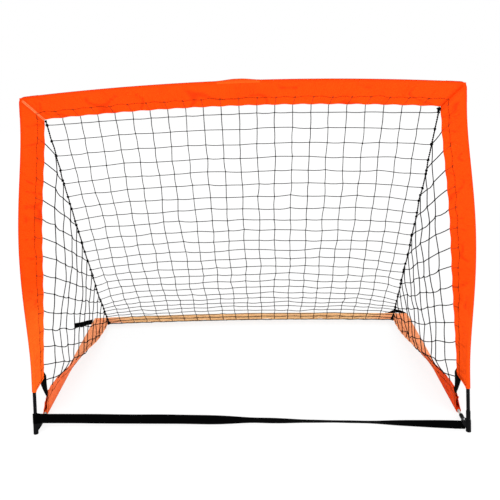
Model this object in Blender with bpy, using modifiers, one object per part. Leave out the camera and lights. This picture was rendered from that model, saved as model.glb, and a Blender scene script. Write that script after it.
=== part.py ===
"""A folding soccer goal: a ring of thin rods in cloth sleeves, with a net, that folds to a slim bundle.

The goal stands on the ground, +Z up, with its mouth facing -Y. All sizes are metres and degrees.
Two flat frames make it. The base lies on the ground and the front frame leans back from it. Each has
two side rods and a bar of two halves, and both narrow alike when they fold, so that the front frame
can lie down on the base. Points of a frame are (across, along, out): across the goal, along the side
rods from the front hubs, and out of the frame, which is up for the base and forward for the front.
"""

import math

import bmesh
import bpy
from mathutils import Matrix, Vector

# Frame
HALF_WIDTH = 0.600  # centre plane to the axis of each side's rods
DEPTH = 0.760  # hub hinges to the axis of the rear rods, at the corners
POST_HEIGHT = 0.930  # ground to the axis of the crossbar rods, at the corners
LEAN = 9.0  # the front frame leans back
BAR_BOW = 0.025  # the crossbar and the rear bar bow outward alike, so that they fold alike
POST_BOW = 0.020
BOW_START = 0.140  # a bowed side rod is straight below this
BOW_STOP = 0.066  # and for this much below the corner
ROD_RADIUS = 0.00375
ROD_HEIGHT = 0.0072  # ground to the axis of the base rods
FIT = 0.0003  # clearance between pieces that are sewn, pressed or pushed together
RUNNING_FIT = 0.0001  # clearance round a hinge pin

# Front hubs
PIVOT_HEIGHT = 0.022
POST_SETBACK = 0.014  # the post stands this far in front of the hub hinge
BOOT_RADIUS = 0.007
BOOT_NECK_RADIUS = 0.006
BOOT_NECK_START = 0.0065  # along the post, from the hub hinge
BOOT_TOP = 0.032
BOOT_FLOOR = 0.012  # the post's lower end, below the hub hinge
LUG_RADIUS = 0.0060
LUG_HALF = 0.0026
SHOULDER_REACH = 0.011  # the boot's shoulder, inward from the post
SHOULDER_RADIUS = 0.006
SHOULDER_HALF = 0.004
CHEEK_THICKNESS = 0.0025
FORK_START = 0.018  # the fork's socket, along the base rod
FORK_LENGTH = 0.034
FORK_RADIUS = 0.0056
RIVET_RADIUS = 0.0025
RIVET_HEAD_RADIUS = 0.0055
RIVET_HEAD = 0.0012
LEG_RADIUS = 0.0049
LEG_LENGTH = 0.088

# Folding corners and centres
CORNER_INSET = 0.0066  # corner hinge pin, inward from both rods
CENTRE_OFFSET = 0.0064  # centre hinge pin, outward from the rods
SOCKET_RADIUS = 0.0058
SOCKET_LENGTH = 0.030
CORNER_CUT = 0.0120  # the rods stop this short of the corner
CENTRE_CUT = 0.0090
EAR_RADIUS = 0.0032
EAR_THICKNESS = 0.0018
EAR_GAP = 0.00015  # half the gap between two ears
EAR_REACH = 0.006  # the ear is rooted this far along its socket
PIN_RADIUS = 0.0015
PIN_HEAD_RADIUS = 0.0028
PIN_HEAD = 0.0011

# Cloth sleeves
SLEEVE_WIDTH = 0.062  # rod axis to the inner edge
SLEEVE_RADIUS = 0.0065  # round the rod
SLEEVE_END_RADIUS = 0.0070  # round a corner's socket
SLEEVE_CENTRE_RADIUS = 0.0145  # round a centre hinge, outward
SLEEVE_WALL = 0.0008
SLEEVE_HEM = 0.0012  # half the thickness of the inner edge
SLEEVE_HEM_DEPTH = 0.006
CAVITY_HEM = 0.0004
SEAM_GAP = 0.0003
SWELL_LENGTH = 0.075  # the sleeve is swollen this far from a corner
CENTRE_SWELL_LENGTH = 0.044
SWELL_FADE = 0.036
POST_SLEEVE_FOOT = 0.095  # lower tip, along the post
POST_SLEEVE_SLANT = 0.030  # the inner edge ends this much higher
BASE_SLEEVE_FRONT = 0.075
POST_TWIST = -55.0  # the net turns the foot of the post sleeve backward
POST_TAPER = 0.55  # and the sleeve is this share of its width there
POST_TWIST_END = 0.62  # share of the post up to which it is turned and tapered
BASE_TWIST = 80.0  # the front of the base sleeve stands on edge
BASE_DROOP = 9.0  # the net's pull lifts the inner edge of the rear sleeves

# Net
NET_GAP = 0.0035  # sleeve edge to the net's outer strands
STRAND = 0.003
CORD_RADIUS = 0.0016
CORD_CLEARANCE = 0.0036  # cord axis to the axis of the net's outer strands
NET_COLUMNS = 7  # in each half
NET_ROWS = 13
SIDE_COLUMNS = 5
SIDE_ROWS = 9
SIDE_TOP = 0.10  # share of the side net's height where its rows begin
NET_SAG = 0.110
NET_FLATNESS = 6  # the net hangs this evenly between its edge cords; 2 is a parabola
CORD_SAG = 0.060
CORD_PULL = 0.018  # the net pulls each edge cord inward
SIDE_BELLY = 0.012

# Webbing
STRAP_WIDTH = 0.023
WEBBING = 0.0012
STRAP_LOW = 0.0080  # lower edge along the post, above the hub hinge
STRAP_TAIL = 0.034
STRAP_DIP = 0.004
STRAP_FALL = 2.2  # the strap runs level from the left foot and then falls to the right one
STRAP_RIGHT_HEIGHT = 0.0128  # its middle, above the ground
STRAP_RIGHT_END = 0.0062  # inward from the right post, behind the boot's shoulder
STRAP_FLAT = 68.0  # the strap turns this far toward flat between the feet
TAB_WIDTH = 0.020
TAB_GAP = 0.0015
TIE_WIDTH = 0.019
TIE_LENGTH = 0.072
TIE_SLANT = 2.05  # the open tie reaches this far forward for each metre outward
TIE_SEAT = 0.0076  # the tie is sewn to its sleeve this far out from the rod's axis
TIE_SETBACK = 0.026  # in front of the rear rods' axis
TIE_HEIGHT = 0.0016  # underside above the ground
FOLDED_TIE_REACH = 0.060
FOLDED_TIE_RISE = 0.006

# Where the frames stand
LEAN_ANGLE = math.radians(LEAN)
FRONT_REACH = (POST_SETBACK + BOOT_RADIUS) / math.cos(LEAN_ANGLE) + PIVOT_HEIGHT * math.tan(LEAN_ANGLE)
REAR_REACH = DEPTH + BAR_BOW + SLEEVE_CENTRE_RADIUS
HUB_Y = (FRONT_REACH - REAR_REACH) / 2
HUB = Vector((0.0, HUB_Y, PIVOT_HEIGHT))
POST_ALONG = (POST_HEIGHT - PIVOT_HEIGHT - POST_SETBACK * math.sin(LEAN_ANGLE)) / math.cos(LEAN_ANGLE)
LEFT, RIGHT = -1, 1
SIDES = {LEFT: "left", RIGHT: "right"}


class Frame:
    """One of the two flat frames: its place, the length of its side rods, and the bow of each."""

    def __init__(self, title, matrix, length, side_bow):
        self.title = title
        self.matrix = matrix
        self.length = length
        self.side_bow = side_bow

    def point(self, across, along, out=0.0):
        """A point of the frame, in the world."""
        return self.matrix @ Vector((across, along, out))

    def side_across(self, along):
        """How far the side rod's axis is from the centre plane."""
        share = (along - BOW_START) / (self.length - BOW_STOP - BOW_START)
        share = min(max(share, 0.0), 1.0)
        return HALF_WIDTH + 16 * self.side_bow * (share * (1 - share)) ** 2

    def bar_along(self, across):
        """How far along the frame the bar's axis is."""
        return self.length + BAR_BOW * (1 - (across / HALF_WIDTH) ** 2)

    def corner(self, inset):
        """Where a line inset from the side rod meets the same line along the bar: (across, along)."""
        across, along = HALF_WIDTH - inset, self.length - inset
        for _ in range(12):
            across = self.side_across(along) - inset
            along = self.bar_along(across) - inset
        return across, along


def front_matrix():
    """The front frame's place: its axes are across, up the leaning posts, and forward."""
    along = Vector((0.0, math.sin(LEAN_ANGLE), math.cos(LEAN_ANGLE)))
    out = Vector((0.0, -math.cos(LEAN_ANGLE), math.sin(LEAN_ANGLE)))
    turn = Matrix((Vector((1.0, 0.0, 0.0)), along, out)).transposed().to_4x4()
    return Matrix.Translation(HUB + out * POST_SETBACK) @ turn


FRONT = Frame("top", front_matrix(), POST_ALONG, POST_BOW)
BASE = Frame("rear", Matrix.Translation((0.0, HUB_Y, ROD_HEIGHT)), DEPTH, 0.0)


def clear_scene():
    """Removes what the file opened with, and makes the goal's collection."""
    for old in list(bpy.data.objects):
        bpy.data.objects.remove(old, do_unlink=True)
    goal = bpy.data.collections.new("folding_soccer_goal")
    bpy.context.scene.collection.children.link(goal)
    return goal


GOAL = clear_scene()


def material(title, colour, roughness, metallic=0.0):
    """A plain Principled material."""
    made = bpy.data.materials.new(title)
    made.use_nodes = True
    shader = made.node_tree.nodes["Principled BSDF"]
    shader.inputs["Base Color"].default_value = (*colour, 1.0)
    shader.inputs["Roughness"].default_value = roughness
    shader.inputs["Metallic"].default_value = metallic
    made.diffuse_color = (*colour, 1.0)
    return made


ORANGE_CLOTH = material("orange_cloth", (1.0, 0.074, 0.006), 0.65)
BLACK_NET = material("black_net", (0.010, 0.010, 0.012), 0.8)
BLACK_WEBBING = material("black_webbing", (0.008, 0.008, 0.009), 0.75)
BLACK_PLASTIC = material("black_plastic", (0.012, 0.012, 0.013), 0.45)
GLASS_FIBRE = material("glass_fibre", (0.55, 0.55, 0.53), 0.4)
STEEL = material("zinc_steel", (0.48, 0.49, 0.50), 0.35, 1.0)


def smoothstep(low, high, value):
    """0 below low, 1 above high, and a smooth rise between."""
    share = min(max((value - low) / (high - low), 0.0), 1.0)
    return share * share * (3 - 2 * share)


def object_from(name, bm):
    """A named object of the goal, from a bmesh."""
    mesh = bpy.data.meshes.new(name)
    bmesh.ops.recalc_face_normals(bm, faces=bm.faces)
    if bm.calc_volume(signed=True) < 0:
        bmesh.ops.reverse_faces(bm, faces=bm.faces)
    bm.to_mesh(mesh)
    bm.free()
    made = bpy.data.objects.new(name, mesh)
    GOAL.objects.link(made)
    return made


def finish(piece, finish_material, body):
    """Gives the piece its material and shading, and hangs it on the body that carries it."""
    piece.data.materials.clear()
    piece.data.materials.append(finish_material)
    if piece.type == "MESH":
        piece.data.shade_smooth()
        piece.data.set_sharp_from_angle(angle=math.radians(35))
    piece.data.transform(body.matrix_world.inverted())
    piece.parent = body
    return piece


def cylinder(name, start, end, radius, segments=20):
    """A closed cylinder between two points."""
    axis = end - start
    bm = bmesh.new()
    bmesh.ops.create_cone(
        bm, cap_ends=True, segments=segments, radius1=radius, radius2=radius, depth=axis.length
    )
    bm.transform(Matrix.Translation((start + end) / 2) @ axis.to_track_quat("Z", "Y").to_matrix().to_4x4())
    return object_from(name, bm)


def round_plate(name, circles, low, high, frame, segments=16):
    """A plate round several circles (centre, radius) of the frame's flat plane, from low to high."""
    bm = bmesh.new()
    for centre, radius in circles:
        for turn in range(segments):
            angle = 2 * math.pi * turn / segments
            flat = (centre[0] + radius * math.cos(angle), centre[1] + radius * math.sin(angle))
            for height in (low, high):
                bm.verts.new(frame @ Vector((*flat, height)))
    hull = bmesh.ops.convex_hull(bm, input=bm.verts)
    bmesh.ops.delete(bm, geom=list({*hull["geom_interior"], *hull["geom_unused"]}), context="VERTS")
    bmesh.ops.dissolve_limit(bm, angle_limit=math.radians(1), verts=bm.verts, edges=bm.edges)
    return object_from(name, bm)


def link_plate(name, first, second, radius, low, high, frame):
    """A plate with two round ends, centred on two points of the frame's flat plane, from low to high."""
    return round_plate(name, ((first, radius), (second, radius)), low, high, frame)


def combine(piece, other, operation):
    """Applies a Boolean of the other object to the piece, and removes the other."""
    cut = piece.modifiers.new("cut", "BOOLEAN")
    cut.object = other
    cut.operation = operation
    cut.solver = "EXACT"
    evaluated = piece.evaluated_get(bpy.context.evaluated_depsgraph_get())
    mesh = bpy.data.meshes.new_from_object(evaluated)
    piece.modifiers.clear()
    piece.data = mesh
    bpy.data.objects.remove(other, do_unlink=True)
    return piece


def tube(name, points, radius, resolution=4):
    """A rod or cord along the points."""
    curve = bpy.data.curves.new(name, "CURVE")
    curve.dimensions = "3D"
    curve.bevel_depth = radius
    curve.bevel_resolution = resolution
    curve.use_fill_caps = True
    spline = curve.splines.new("POLY")
    spline.points.add(len(points) - 1)
    for target, point in zip(spline.points, points):
        target.co = (*point, 1.0)
    made = bpy.data.objects.new(name, curve)
    GOAL.objects.link(made)
    return made


def loft(name, rings, closed=False):
    """A skin over rings of points: capped at both ends, or joined end to end if closed."""
    bm = bmesh.new()
    rows = [[bm.verts.new(point) for point in ring] for ring in rings]
    count = len(rows[0])
    pairs = list(zip(rows, rows[1:]))
    if closed:
        pairs.append((rows[-1], rows[0]))
    for lower, upper in pairs:
        for i in range(count):
            j = (i + 1) % count
            bm.faces.new((lower[i], lower[j], upper[j], upper[i]))
    if not closed:
        bm.faces.new(rows[0])
        bm.faces.new(rows[-1])
    bmesh.ops.triangulate(bm, faces=bm.faces, quad_method="SHORT_EDGE")
    return object_from(name, bm)


def ribbon(name, path, half_width, half_thickness):
    """Webbing along a path of (point, width direction, face direction)."""
    rings = []
    for point, wide, face in path:
        w, f = wide.normalized() * half_width, face.normalized() * half_thickness
        rings.append([point - w - f, point + w - f, point + w + f, point - w + f])
    return loft(name, rings)


# Bodies

def make_bodies():
    """An empty on each moving body's hinge axis, each hung on the body before it."""

    def empty(name, parent, point):
        made = bpy.data.objects.new(name, None)
        GOAL.objects.link(made)
        made.empty_display_size = 0.03
        made.location = point
        if parent:
            made.parent = parent
            made.matrix_parent_inverse = parent.matrix_world.inverted()
        bpy.context.view_layer.update()
        return made

    def corner_pin(frame, side):
        return frame.point(side * (HALF_WIDTH - CORNER_INSET), frame.length - CORNER_INSET)

    def centre_pin(frame):
        return frame.point(0.0, frame.bar_along(0.0) + CENTRE_OFFSET)

    bodies = {"base_left": empty("base_left_body", None, HUB + Vector((-HALF_WIDTH, 0, 0)))}
    bodies["rear_left"] = empty("rear_left_body", bodies["base_left"], corner_pin(BASE, LEFT))
    bodies["rear_right"] = empty("rear_right_body", bodies["rear_left"], centre_pin(BASE))
    bodies["base_right"] = empty("base_right_body", bodies["rear_right"], corner_pin(BASE, RIGHT))
    bodies["post_left"] = empty("post_left_body", bodies["base_left"], HUB + Vector((-HALF_WIDTH, 0, 0)))
    bodies["crossbar_left"] = empty("crossbar_left_body", bodies["post_left"], corner_pin(FRONT, LEFT))
    bodies["crossbar_right"] = empty("crossbar_right_body", bodies["crossbar_left"], centre_pin(FRONT))
    bodies["post_right"] = empty("post_right_body", bodies["base_right"], HUB + Vector((HALF_WIDTH, 0, 0)))
    return bodies


BODIES = make_bodies()


# Rods

def make_rods():
    """Eight rods: two posts, two base sides, and two halves of each bar."""
    steps = 12
    starts = {"post": -BOOT_FLOOR, "base": FORK_START + FIT}
    for side, word in SIDES.items():
        for frame, title, bar in ((FRONT, "post", "crossbar"), (BASE, "base", "rear")):
            start, end = starts[title], frame.length - CORNER_CUT
            alongs = [start, end]
            if frame.side_bow:
                bow = frame.length - BOW_STOP - BOW_START
                alongs[1:1] = [BOW_START + bow * i / steps for i in range(steps + 1)]
            points = [frame.point(side * frame.side_across(along), along) for along in alongs]
            rod = tube(f"{title}_rod_{word}", points, ROD_RADIUS)
            finish(rod, GLASS_FIBRE, BODIES[f"{title}_{word}"])

            outer, inner = HALF_WIDTH - CORNER_CUT, CENTRE_CUT
            acrosses = [outer + (inner - outer) * i / steps for i in range(steps + 1)]
            points = [frame.point(side * across, frame.bar_along(across)) for across in acrosses]
            rod = tube(f"{bar}_rod_{word}", points, ROD_RADIUS)
            finish(rod, GLASS_FIBRE, BODIES[f"{bar}_{word}"])


# Hinges inside the sleeves

def hinge_leaf(name, frame, rod_end, rod_far, pivot, layer, body):
    """A socket on a rod's end with a flat ear round the hinge pin. Layer 1 is the outer ear, -1 the other."""
    toward = (Vector(rod_far) - Vector(rod_end)).normalized()
    start = Vector((*rod_end, 0.0))
    direction = Vector((*toward, 0.0))
    world = frame.matrix
    leaf = cylinder(name, world @ start, world @ (start + direction * SOCKET_LENGTH), SOCKET_RADIUS)
    faces = sorted((layer * EAR_GAP, layer * (EAR_GAP + EAR_THICKNESS)))
    root = start + direction * EAR_REACH
    ear = link_plate("ear", pivot, root.xy, EAR_RADIUS, *faces, world)
    combine(leaf, ear, "UNION")
    bore_start, bore_end = start - direction * FIT, start + direction * (SOCKET_LENGTH + EAR_RADIUS)
    bore = cylinder("bore", world @ bore_start, world @ bore_end, ROD_RADIUS + FIT)
    combine(leaf, bore, "DIFFERENCE")
    reach = EAR_THICKNESS * 2
    centre = Vector((*pivot, 0.0))
    up = Vector((0.0, 0.0, reach))
    hole = cylinder("hole", world @ (centre - up), world @ (centre + up), PIN_RADIUS + RUNNING_FIT)
    combine(leaf, hole, "DIFFERENCE")
    return finish(leaf, STEEL, BODIES[body])


def headed_pin(name, centre, axis, shaft_radius, head_radius, head, half_length, body):
    """A pin with a round head at each end, half_length to the underside of each head."""
    reach = axis * (half_length + head / 2)
    pin = cylinder(name, centre - reach, centre + reach, shaft_radius)
    for way in (-1, 1):
        inner, outer = axis * (way * half_length), axis * (way * (half_length + head))
        combine(pin, cylinder("head", centre + inner, centre + outer, head_radius), "UNION")
    return finish(pin, STEEL, BODIES[body])


def make_hinges():
    """The two leaves and the pin of each corner, and of each bar's centre."""
    half_length = EAR_GAP + EAR_THICKNESS + FIT
    for frame, side_title, bar in ((FRONT, "post", "crossbar"), (BASE, "base", "rear")):
        out = frame.matrix.to_3x3() @ Vector((0.0, 0.0, 1.0))
        for side, word in SIDES.items():
            pivot = (side * (HALF_WIDTH - CORNER_INSET), frame.length - CORNER_INSET)
            end = frame.length - CORNER_CUT
            far = end - SOCKET_LENGTH
            rod_end = (side * frame.side_across(end), end)
            rod_far = (side * frame.side_across(far), far)
            socket = f"{frame.title}_corner_socket_{word}"
            hinge_leaf(socket, frame, rod_end, rod_far, pivot, 1, f"{side_title}_{word}")

            end, far = HALF_WIDTH - CORNER_CUT, HALF_WIDTH - CORNER_CUT - SOCKET_LENGTH
            rod_end = (side * end, frame.bar_along(end))
            rod_far = (side * far, frame.bar_along(far))
            leaf = f"{frame.title}_corner_leaf_{word}"
            hinge_leaf(leaf, frame, rod_end, rod_far, pivot, -1, f"{bar}_{word}")
            pin = (PIN_RADIUS, PIN_HEAD_RADIUS, PIN_HEAD, half_length, f"{side_title}_{word}")
            headed_pin(f"{frame.title}_corner_pin_{word}", frame.point(*pivot), out, *pin)

            centre = (0.0, frame.bar_along(0.0) + CENTRE_OFFSET)
            far = CENTRE_CUT + SOCKET_LENGTH
            rod_end = (side * CENTRE_CUT, frame.bar_along(CENTRE_CUT))
            rod_far = (side * far, frame.bar_along(far))
            leaf = f"{frame.title}_centre_leaf_{word}"
            hinge_leaf(leaf, frame, rod_end, rod_far, centre, -side, f"{bar}_{word}")
        pin = (PIN_RADIUS, PIN_HEAD_RADIUS, PIN_HEAD, half_length, f"{bar}_left")
        headed_pin(f"{frame.title}_centre_pin", frame.point(*centre), out, *pin)


# Front hubs

def make_foot(side, word):
    """The moulded boot on the foot of a post, with the lug that the hub rivet goes through."""
    across = side * HALF_WIDTH
    body = BODIES[f"post_{word}"]

    def on_post(along):
        return FRONT.point(across, along)

    sole = PIVOT_HEIGHT / math.cos(LEAN_ANGLE) + BOOT_RADIUS
    boot = cylinder(f"front_foot_{word}", on_post(-sole), on_post(BOOT_NECK_START), BOOT_RADIUS, 28)
    neck = cylinder("neck", on_post(0.0), on_post(BOOT_TOP), BOOT_NECK_RADIUS, 28)
    combine(boot, neck, "UNION")
    upright = FRONT.matrix @ Matrix(((0, 0, 1, across), (1, 0, 0, 0), (0, 1, 0, 0), (0, 0, 0, 1)))
    lug = link_plate("lug", (0, 0), (0, -POST_SETBACK), LUG_RADIUS, -LUG_HALF, LUG_HALF, upright)
    combine(boot, lug, "UNION")
    circles = (
        ((across, 0.0), SHOULDER_RADIUS),
        ((across, -PIVOT_HEIGHT * 0.7), SHOULDER_RADIUS),
        ((across - side * SHOULDER_REACH, -FIT), SHOULDER_RADIUS),
    )
    shoulder = round_plate("shoulder", circles, -SHOULDER_HALF, SHOULDER_HALF, FRONT.matrix)
    combine(boot, shoulder, "UNION")
    bore = cylinder("bore", on_post(-BOOT_FLOOR - FIT), on_post(BOOT_TOP * 2), ROD_RADIUS + FIT)
    combine(boot, bore, "DIFFERENCE")
    hub = HUB + Vector((across, 0, 0))
    way = Vector((LUG_HALF * 2, 0, 0))
    combine(boot, cylinder("hole", hub - way, hub + way, RIVET_RADIUS + RUNNING_FIT), "DIFFERENCE")
    below = sole * 2
    ground = bmesh.new()
    bmesh.ops.create_cube(ground, size=1.0)
    middle = hub - Vector((0, 0, PIVOT_HEIGHT + below / 2))
    bmesh.ops.transform(
        ground, verts=ground.verts, matrix=Matrix.Translation(middle) @ Matrix.Diagonal((0.1, 0.1, below, 1))
    )
    combine(boot, object_from("ground", ground), "DIFFERENCE")
    finish(boot, BLACK_PLASTIC, body)


def make_leg(side, word):
    """The black tube over the bare lower end of a post."""
    start = BOOT_TOP + FIT
    ends = [FRONT.point(side * FRONT.side_across(along), along) for along in (start, start + LEG_LENGTH)]
    leg = cylinder(f"post_leg_{word}", ends[0], ends[1], LEG_RADIUS)
    extra = (ends[1] - ends[0]) * 0.1
    combine(leg, cylinder("bore", ends[0] - extra, ends[1] + extra, ROD_RADIUS + FIT), "DIFFERENCE")
    finish(leg, BLACK_PLASTIC, BODIES[f"post_{word}"])


def make_fork(side, word):
    """The moulded fork on the front end of a base rod, whose cheeks hold the lug between them."""
    across = side * HALF_WIDTH
    body = BODIES[f"base_{word}"]
    start = BASE.point(across, FORK_START)
    end = BASE.point(across, FORK_START + FORK_LENGTH)
    fork = cylinder(f"base_fork_{word}", start, end, FORK_RADIUS, 24)
    upright = BASE.matrix @ Matrix(((0, 0, 1, across), (1, 0, 0, 0), (0, 1, 0, 0), (0, 0, 0, 1)))
    pivot = (0.0, PIVOT_HEIGHT - ROD_HEIGHT)
    root = (FORK_START + LUG_RADIUS * 1.6, 0.0)
    for way in (-1, 1):
        faces = sorted((way * (LUG_HALF + FIT), way * (LUG_HALF + FIT + CHEEK_THICKNESS)))
        combine(fork, link_plate("cheek", pivot, root, LUG_RADIUS - 2 * FIT, *faces, upright), "UNION")
    bore = cylinder(
        "bore",
        BASE.point(across, FORK_START - LUG_RADIUS),
        BASE.point(across, FORK_START + FORK_LENGTH * 1.2),
        ROD_RADIUS + FIT,
    )
    combine(fork, bore, "DIFFERENCE")
    hub = HUB + Vector((across, 0, 0))
    way = Vector((LUG_HALF * 4, 0, 0))
    combine(fork, cylinder("hole", hub - way, hub + way, RIVET_RADIUS + RUNNING_FIT), "DIFFERENCE")
    finish(fork, BLACK_PLASTIC, body)
    half_length = LUG_HALF + FIT + CHEEK_THICKNESS + FIT
    rivet = (RIVET_RADIUS, RIVET_HEAD_RADIUS, RIVET_HEAD, half_length, f"base_{word}")
    headed_pin(f"hub_rivet_{word}", hub, Vector((1, 0, 0)), *rivet)


# Cloth sleeves

ROUND_ANGLES = [math.radians(angle) for angle in (90, 122, 151, 180, 209, 238, 270)]


def section(outward, thick, width, hem):
    """A sleeve's section, round the rod and tapered to a hem: points of (inward, out)."""
    curve = [(outward * math.cos(a), thick * math.sin(a)) for a in ROUND_ANGLES]
    middle = width / 2
    half = (thick + hem) / 2
    return [*curve, (middle, -half), (width, -hem), (width, hem), (middle, half)]


def sleeve_rings(stations, radii, place, cavity):
    """Rings of a sleeve's outer skin, or of its cavity. place gives a section point's place in the world."""
    ends = []
    wall = SLEEVE_WALL if cavity else 0.0
    width = SLEEVE_WIDTH - (SLEEVE_HEM_DEPTH if cavity else 0.0)
    hem = CAVITY_HEM if cavity else SLEEVE_HEM
    for share in stations:
        outward, thick = radii(share)
        ends.append([(share, *flat) for flat in section(outward - wall, thick - wall, width, hem)])
    return [[place(*point) for point in ring] for ring in ends]


def make_sleeve(name, stations, radii, place, body):
    """A cloth sleeve: a flat open tube with the rod's channel along its outer edge."""
    skin = sleeve_rings(stations, radii, place, False)
    cavity = sleeve_rings(stations, radii, place, True)
    finish(loft(name, [*skin, *reversed(cavity)], closed=True), ORANGE_CLOTH, BODIES[body])


def turned(inward, out, degrees):
    """A section point turned about the rod; a positive angle lifts the inner edge out of the frame."""
    angle = math.radians(degrees)
    return (
        inward * math.cos(angle) - out * math.sin(angle),
        out * math.cos(angle) + inward * math.sin(angle),
    )


def post_twist(along):
    """How far the post's sleeve is turned at this place."""
    return POST_TWIST * (1 - smoothstep(POST_SLEEVE_FOOT, POST_TWIST_END * FRONT.length, along))


def post_width(along, inward):
    """Narrows a place across the post's sleeve to the sleeve's width here."""
    share = smoothstep(POST_SLEEVE_FOOT, POST_TWIST_END * FRONT.length, along)
    cloth = min(inward, SLEEVE_WIDTH)
    if cloth > 0:
        inward -= cloth * (1 - POST_TAPER) * (1 - share)
    return inward


def base_twist(along):
    """How far the base's sleeve is turned at this place."""
    share = 1 - smoothstep(0.0, 1.0, (along - BASE_SLEEVE_FRONT) / (0.9 * BASE.length - BASE_SLEEVE_FRONT))
    return BASE_DROOP + (BASE_TWIST - BASE_DROOP) * share


def droop(frame):
    """How far the sleeves are turned at the frame's corners and along its bar."""
    return BASE_DROOP if frame is BASE else 0.0


def mitre(frame, inward, out):
    """Where a point of a sleeve's section meets its neighbour's at the corner: (across, along)."""
    return frame.corner(turned(inward, out, droop(frame))[0])


def sleeve_foot(frame, inward):
    """Where a side sleeve starts, along its rod."""
    if frame is BASE:
        return BASE_SLEEVE_FRONT
    return POST_SLEEVE_FOOT + POST_SLEEVE_SLANT * max(inward, 0.0) / SLEEVE_WIDTH


def side_sleeve_point(frame, side, share, inward, out):
    """A point of the sleeve on a post or a base rod."""
    start = sleeve_foot(frame, inward)
    end = mitre(frame, inward, out)[1] - SEAM_GAP
    along = start + (end - start) * share
    if frame is FRONT:
        inward, out = turned(post_width(along, inward), out, post_twist(along))
    else:
        inward, out = turned(inward, out, base_twist(along))
    return frame.point(side * (frame.side_across(along) - inward), along, out)


def bar_sleeve_point(frame, side, share, inward, out):
    """A point of the sleeve on half a bar."""
    start = mitre(frame, inward, out)[0] - SEAM_GAP
    across = start + (SEAM_GAP / 2 - start) * share
    inward, out = turned(inward, out, droop(frame))
    return frame.point(side * across, frame.bar_along(across) - inward, out)


def swell(distance, length=SWELL_LENGTH):
    """1 over the fittings at the end of a rod, fading to 0."""
    return 1 - smoothstep(length, length + SWELL_FADE, distance)


def make_sleeves():
    """Sleeves on the posts, the base rods and both halves of each bar, mitred at the corners."""
    side_stations = (0.0, 0.06, 0.12, 0.18, 0.24, 0.30, 0.36, 0.43, 0.50, 0.58, 0.70, 0.83, 0.90, 1.0)
    bar_stations = (0.0, 0.09, 0.18, 0.36, 0.60, 0.865, 0.925, 1.0)
    more = SLEEVE_END_RADIUS - SLEEVE_RADIUS
    for frame, title, bar in ((FRONT, "post", "crossbar"), (BASE, "base", "rear")):

        def side_radii(share, frame=frame):
            radius = SLEEVE_RADIUS + more * swell((1 - share) * frame.length)
            return radius, radius

        def bar_radii(share):
            corner = swell(share * HALF_WIDTH)
            centre = swell((1 - share) * HALF_WIDTH, CENTRE_SWELL_LENGTH)
            thick = SLEEVE_RADIUS + more * max(corner, centre)
            outward = SLEEVE_RADIUS + more * corner + (SLEEVE_CENTRE_RADIUS - SLEEVE_RADIUS) * centre
            return outward, thick

        for side, word in SIDES.items():
            make_sleeve(
                f"{title}_sleeve_{word}",
                side_stations,
                side_radii,
                lambda share, inward, out, f=frame, s=side: side_sleeve_point(f, s, share, inward, out),
                f"{title}_{word}",
            )
            make_sleeve(
                f"{bar}_sleeve_{word}",
                bar_stations,
                bar_radii,
                lambda share, inward, out, f=frame, s=side: bar_sleeve_point(f, s, share, inward, out),
                f"{bar}_{word}",
            )


# Net

def net_edge(frame, side, share):
    """A point just inside the inner edge of a side sleeve, share of the way from its foot."""
    return side_sleeve_point(frame, side, share, SLEEVE_WIDTH + NET_GAP, 0.0)


def net_corner(frame, side):
    """Where the net's edge cord meets the frame's inner corner."""
    inset = SLEEVE_WIDTH + NET_GAP
    across, along = mitre(frame, inset, 0.0)
    return frame.point(side * across, along, turned(inset, 0.0, droop(frame))[1])


def bar_edge(frame, across, inset):
    """A point just inside the inner edge of a bar's sleeve."""
    inward, out = turned(inset, 0.0, droop(frame))
    return frame.point(across, frame.bar_along(across) - inward, out)


CHORD = (net_corner(BASE, RIGHT) - net_corner(FRONT, RIGHT)).normalized()
SAG_WAY = Vector((0.0, CHORD.z, -CHORD.y)).normalized()


def cord_point(side, share):
    """A point of the edge cord, from the top corner to the rear corner."""
    top, rear = net_corner(FRONT, side), net_corner(BASE, side)
    bow = 4 * share * (1 - share)
    return top.lerp(rear, share) + SAG_WAY * (CORD_SAG * bow) - Vector((side * CORD_PULL * bow, 0, 0))


def back_net_point(side, column, row):
    """A point of half the back net: column 0 at the edge cord and 1 at the centre, row 0 at the crossbar."""
    outer = abs(cord_point(side, row).x) - CORD_CLEARANCE
    inner = SEAM_GAP + STRAND / 2
    across = outer + (inner - outer) * column
    inset = SLEEVE_WIDTH + NET_GAP - STRAND / 2
    top, low = bar_edge(FRONT, side * across, inset), bar_edge(BASE, side * across, inset)
    middle = 1 - (across / outer) ** NET_FLATNESS
    sag = CORD_SAG + (NET_SAG - CORD_SAG) * middle
    return top.lerp(low, row) + SAG_WAY * (4 * sag * row * (1 - row))


def side_net_point(side, column, row):
    """A point of a side net: column 0 at the post and 1 at the edge cord, row 0 at the top corner."""
    clear = SAG_WAY * CORD_CLEARANCE
    post = net_edge(FRONT, side, 1 - row)
    cord = cord_point(side, row) + clear
    foot, knot = net_edge(FRONT, side, 0.0), cord_point(side, 1.0) + clear
    low = net_edge(BASE, side, max(column - 0.08, 0.0) / 0.92 * 0.985)
    if column < 0.08:
        low = foot.lerp(low, column / 0.08)
    lift = low - foot.lerp(knot, column)
    belly = side * SIDE_BELLY * math.sin(math.pi * column) * math.sin(math.pi * row)
    return post.lerp(cord, column) + lift * row ** 2 + Vector((belly, 0, 0))


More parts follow.
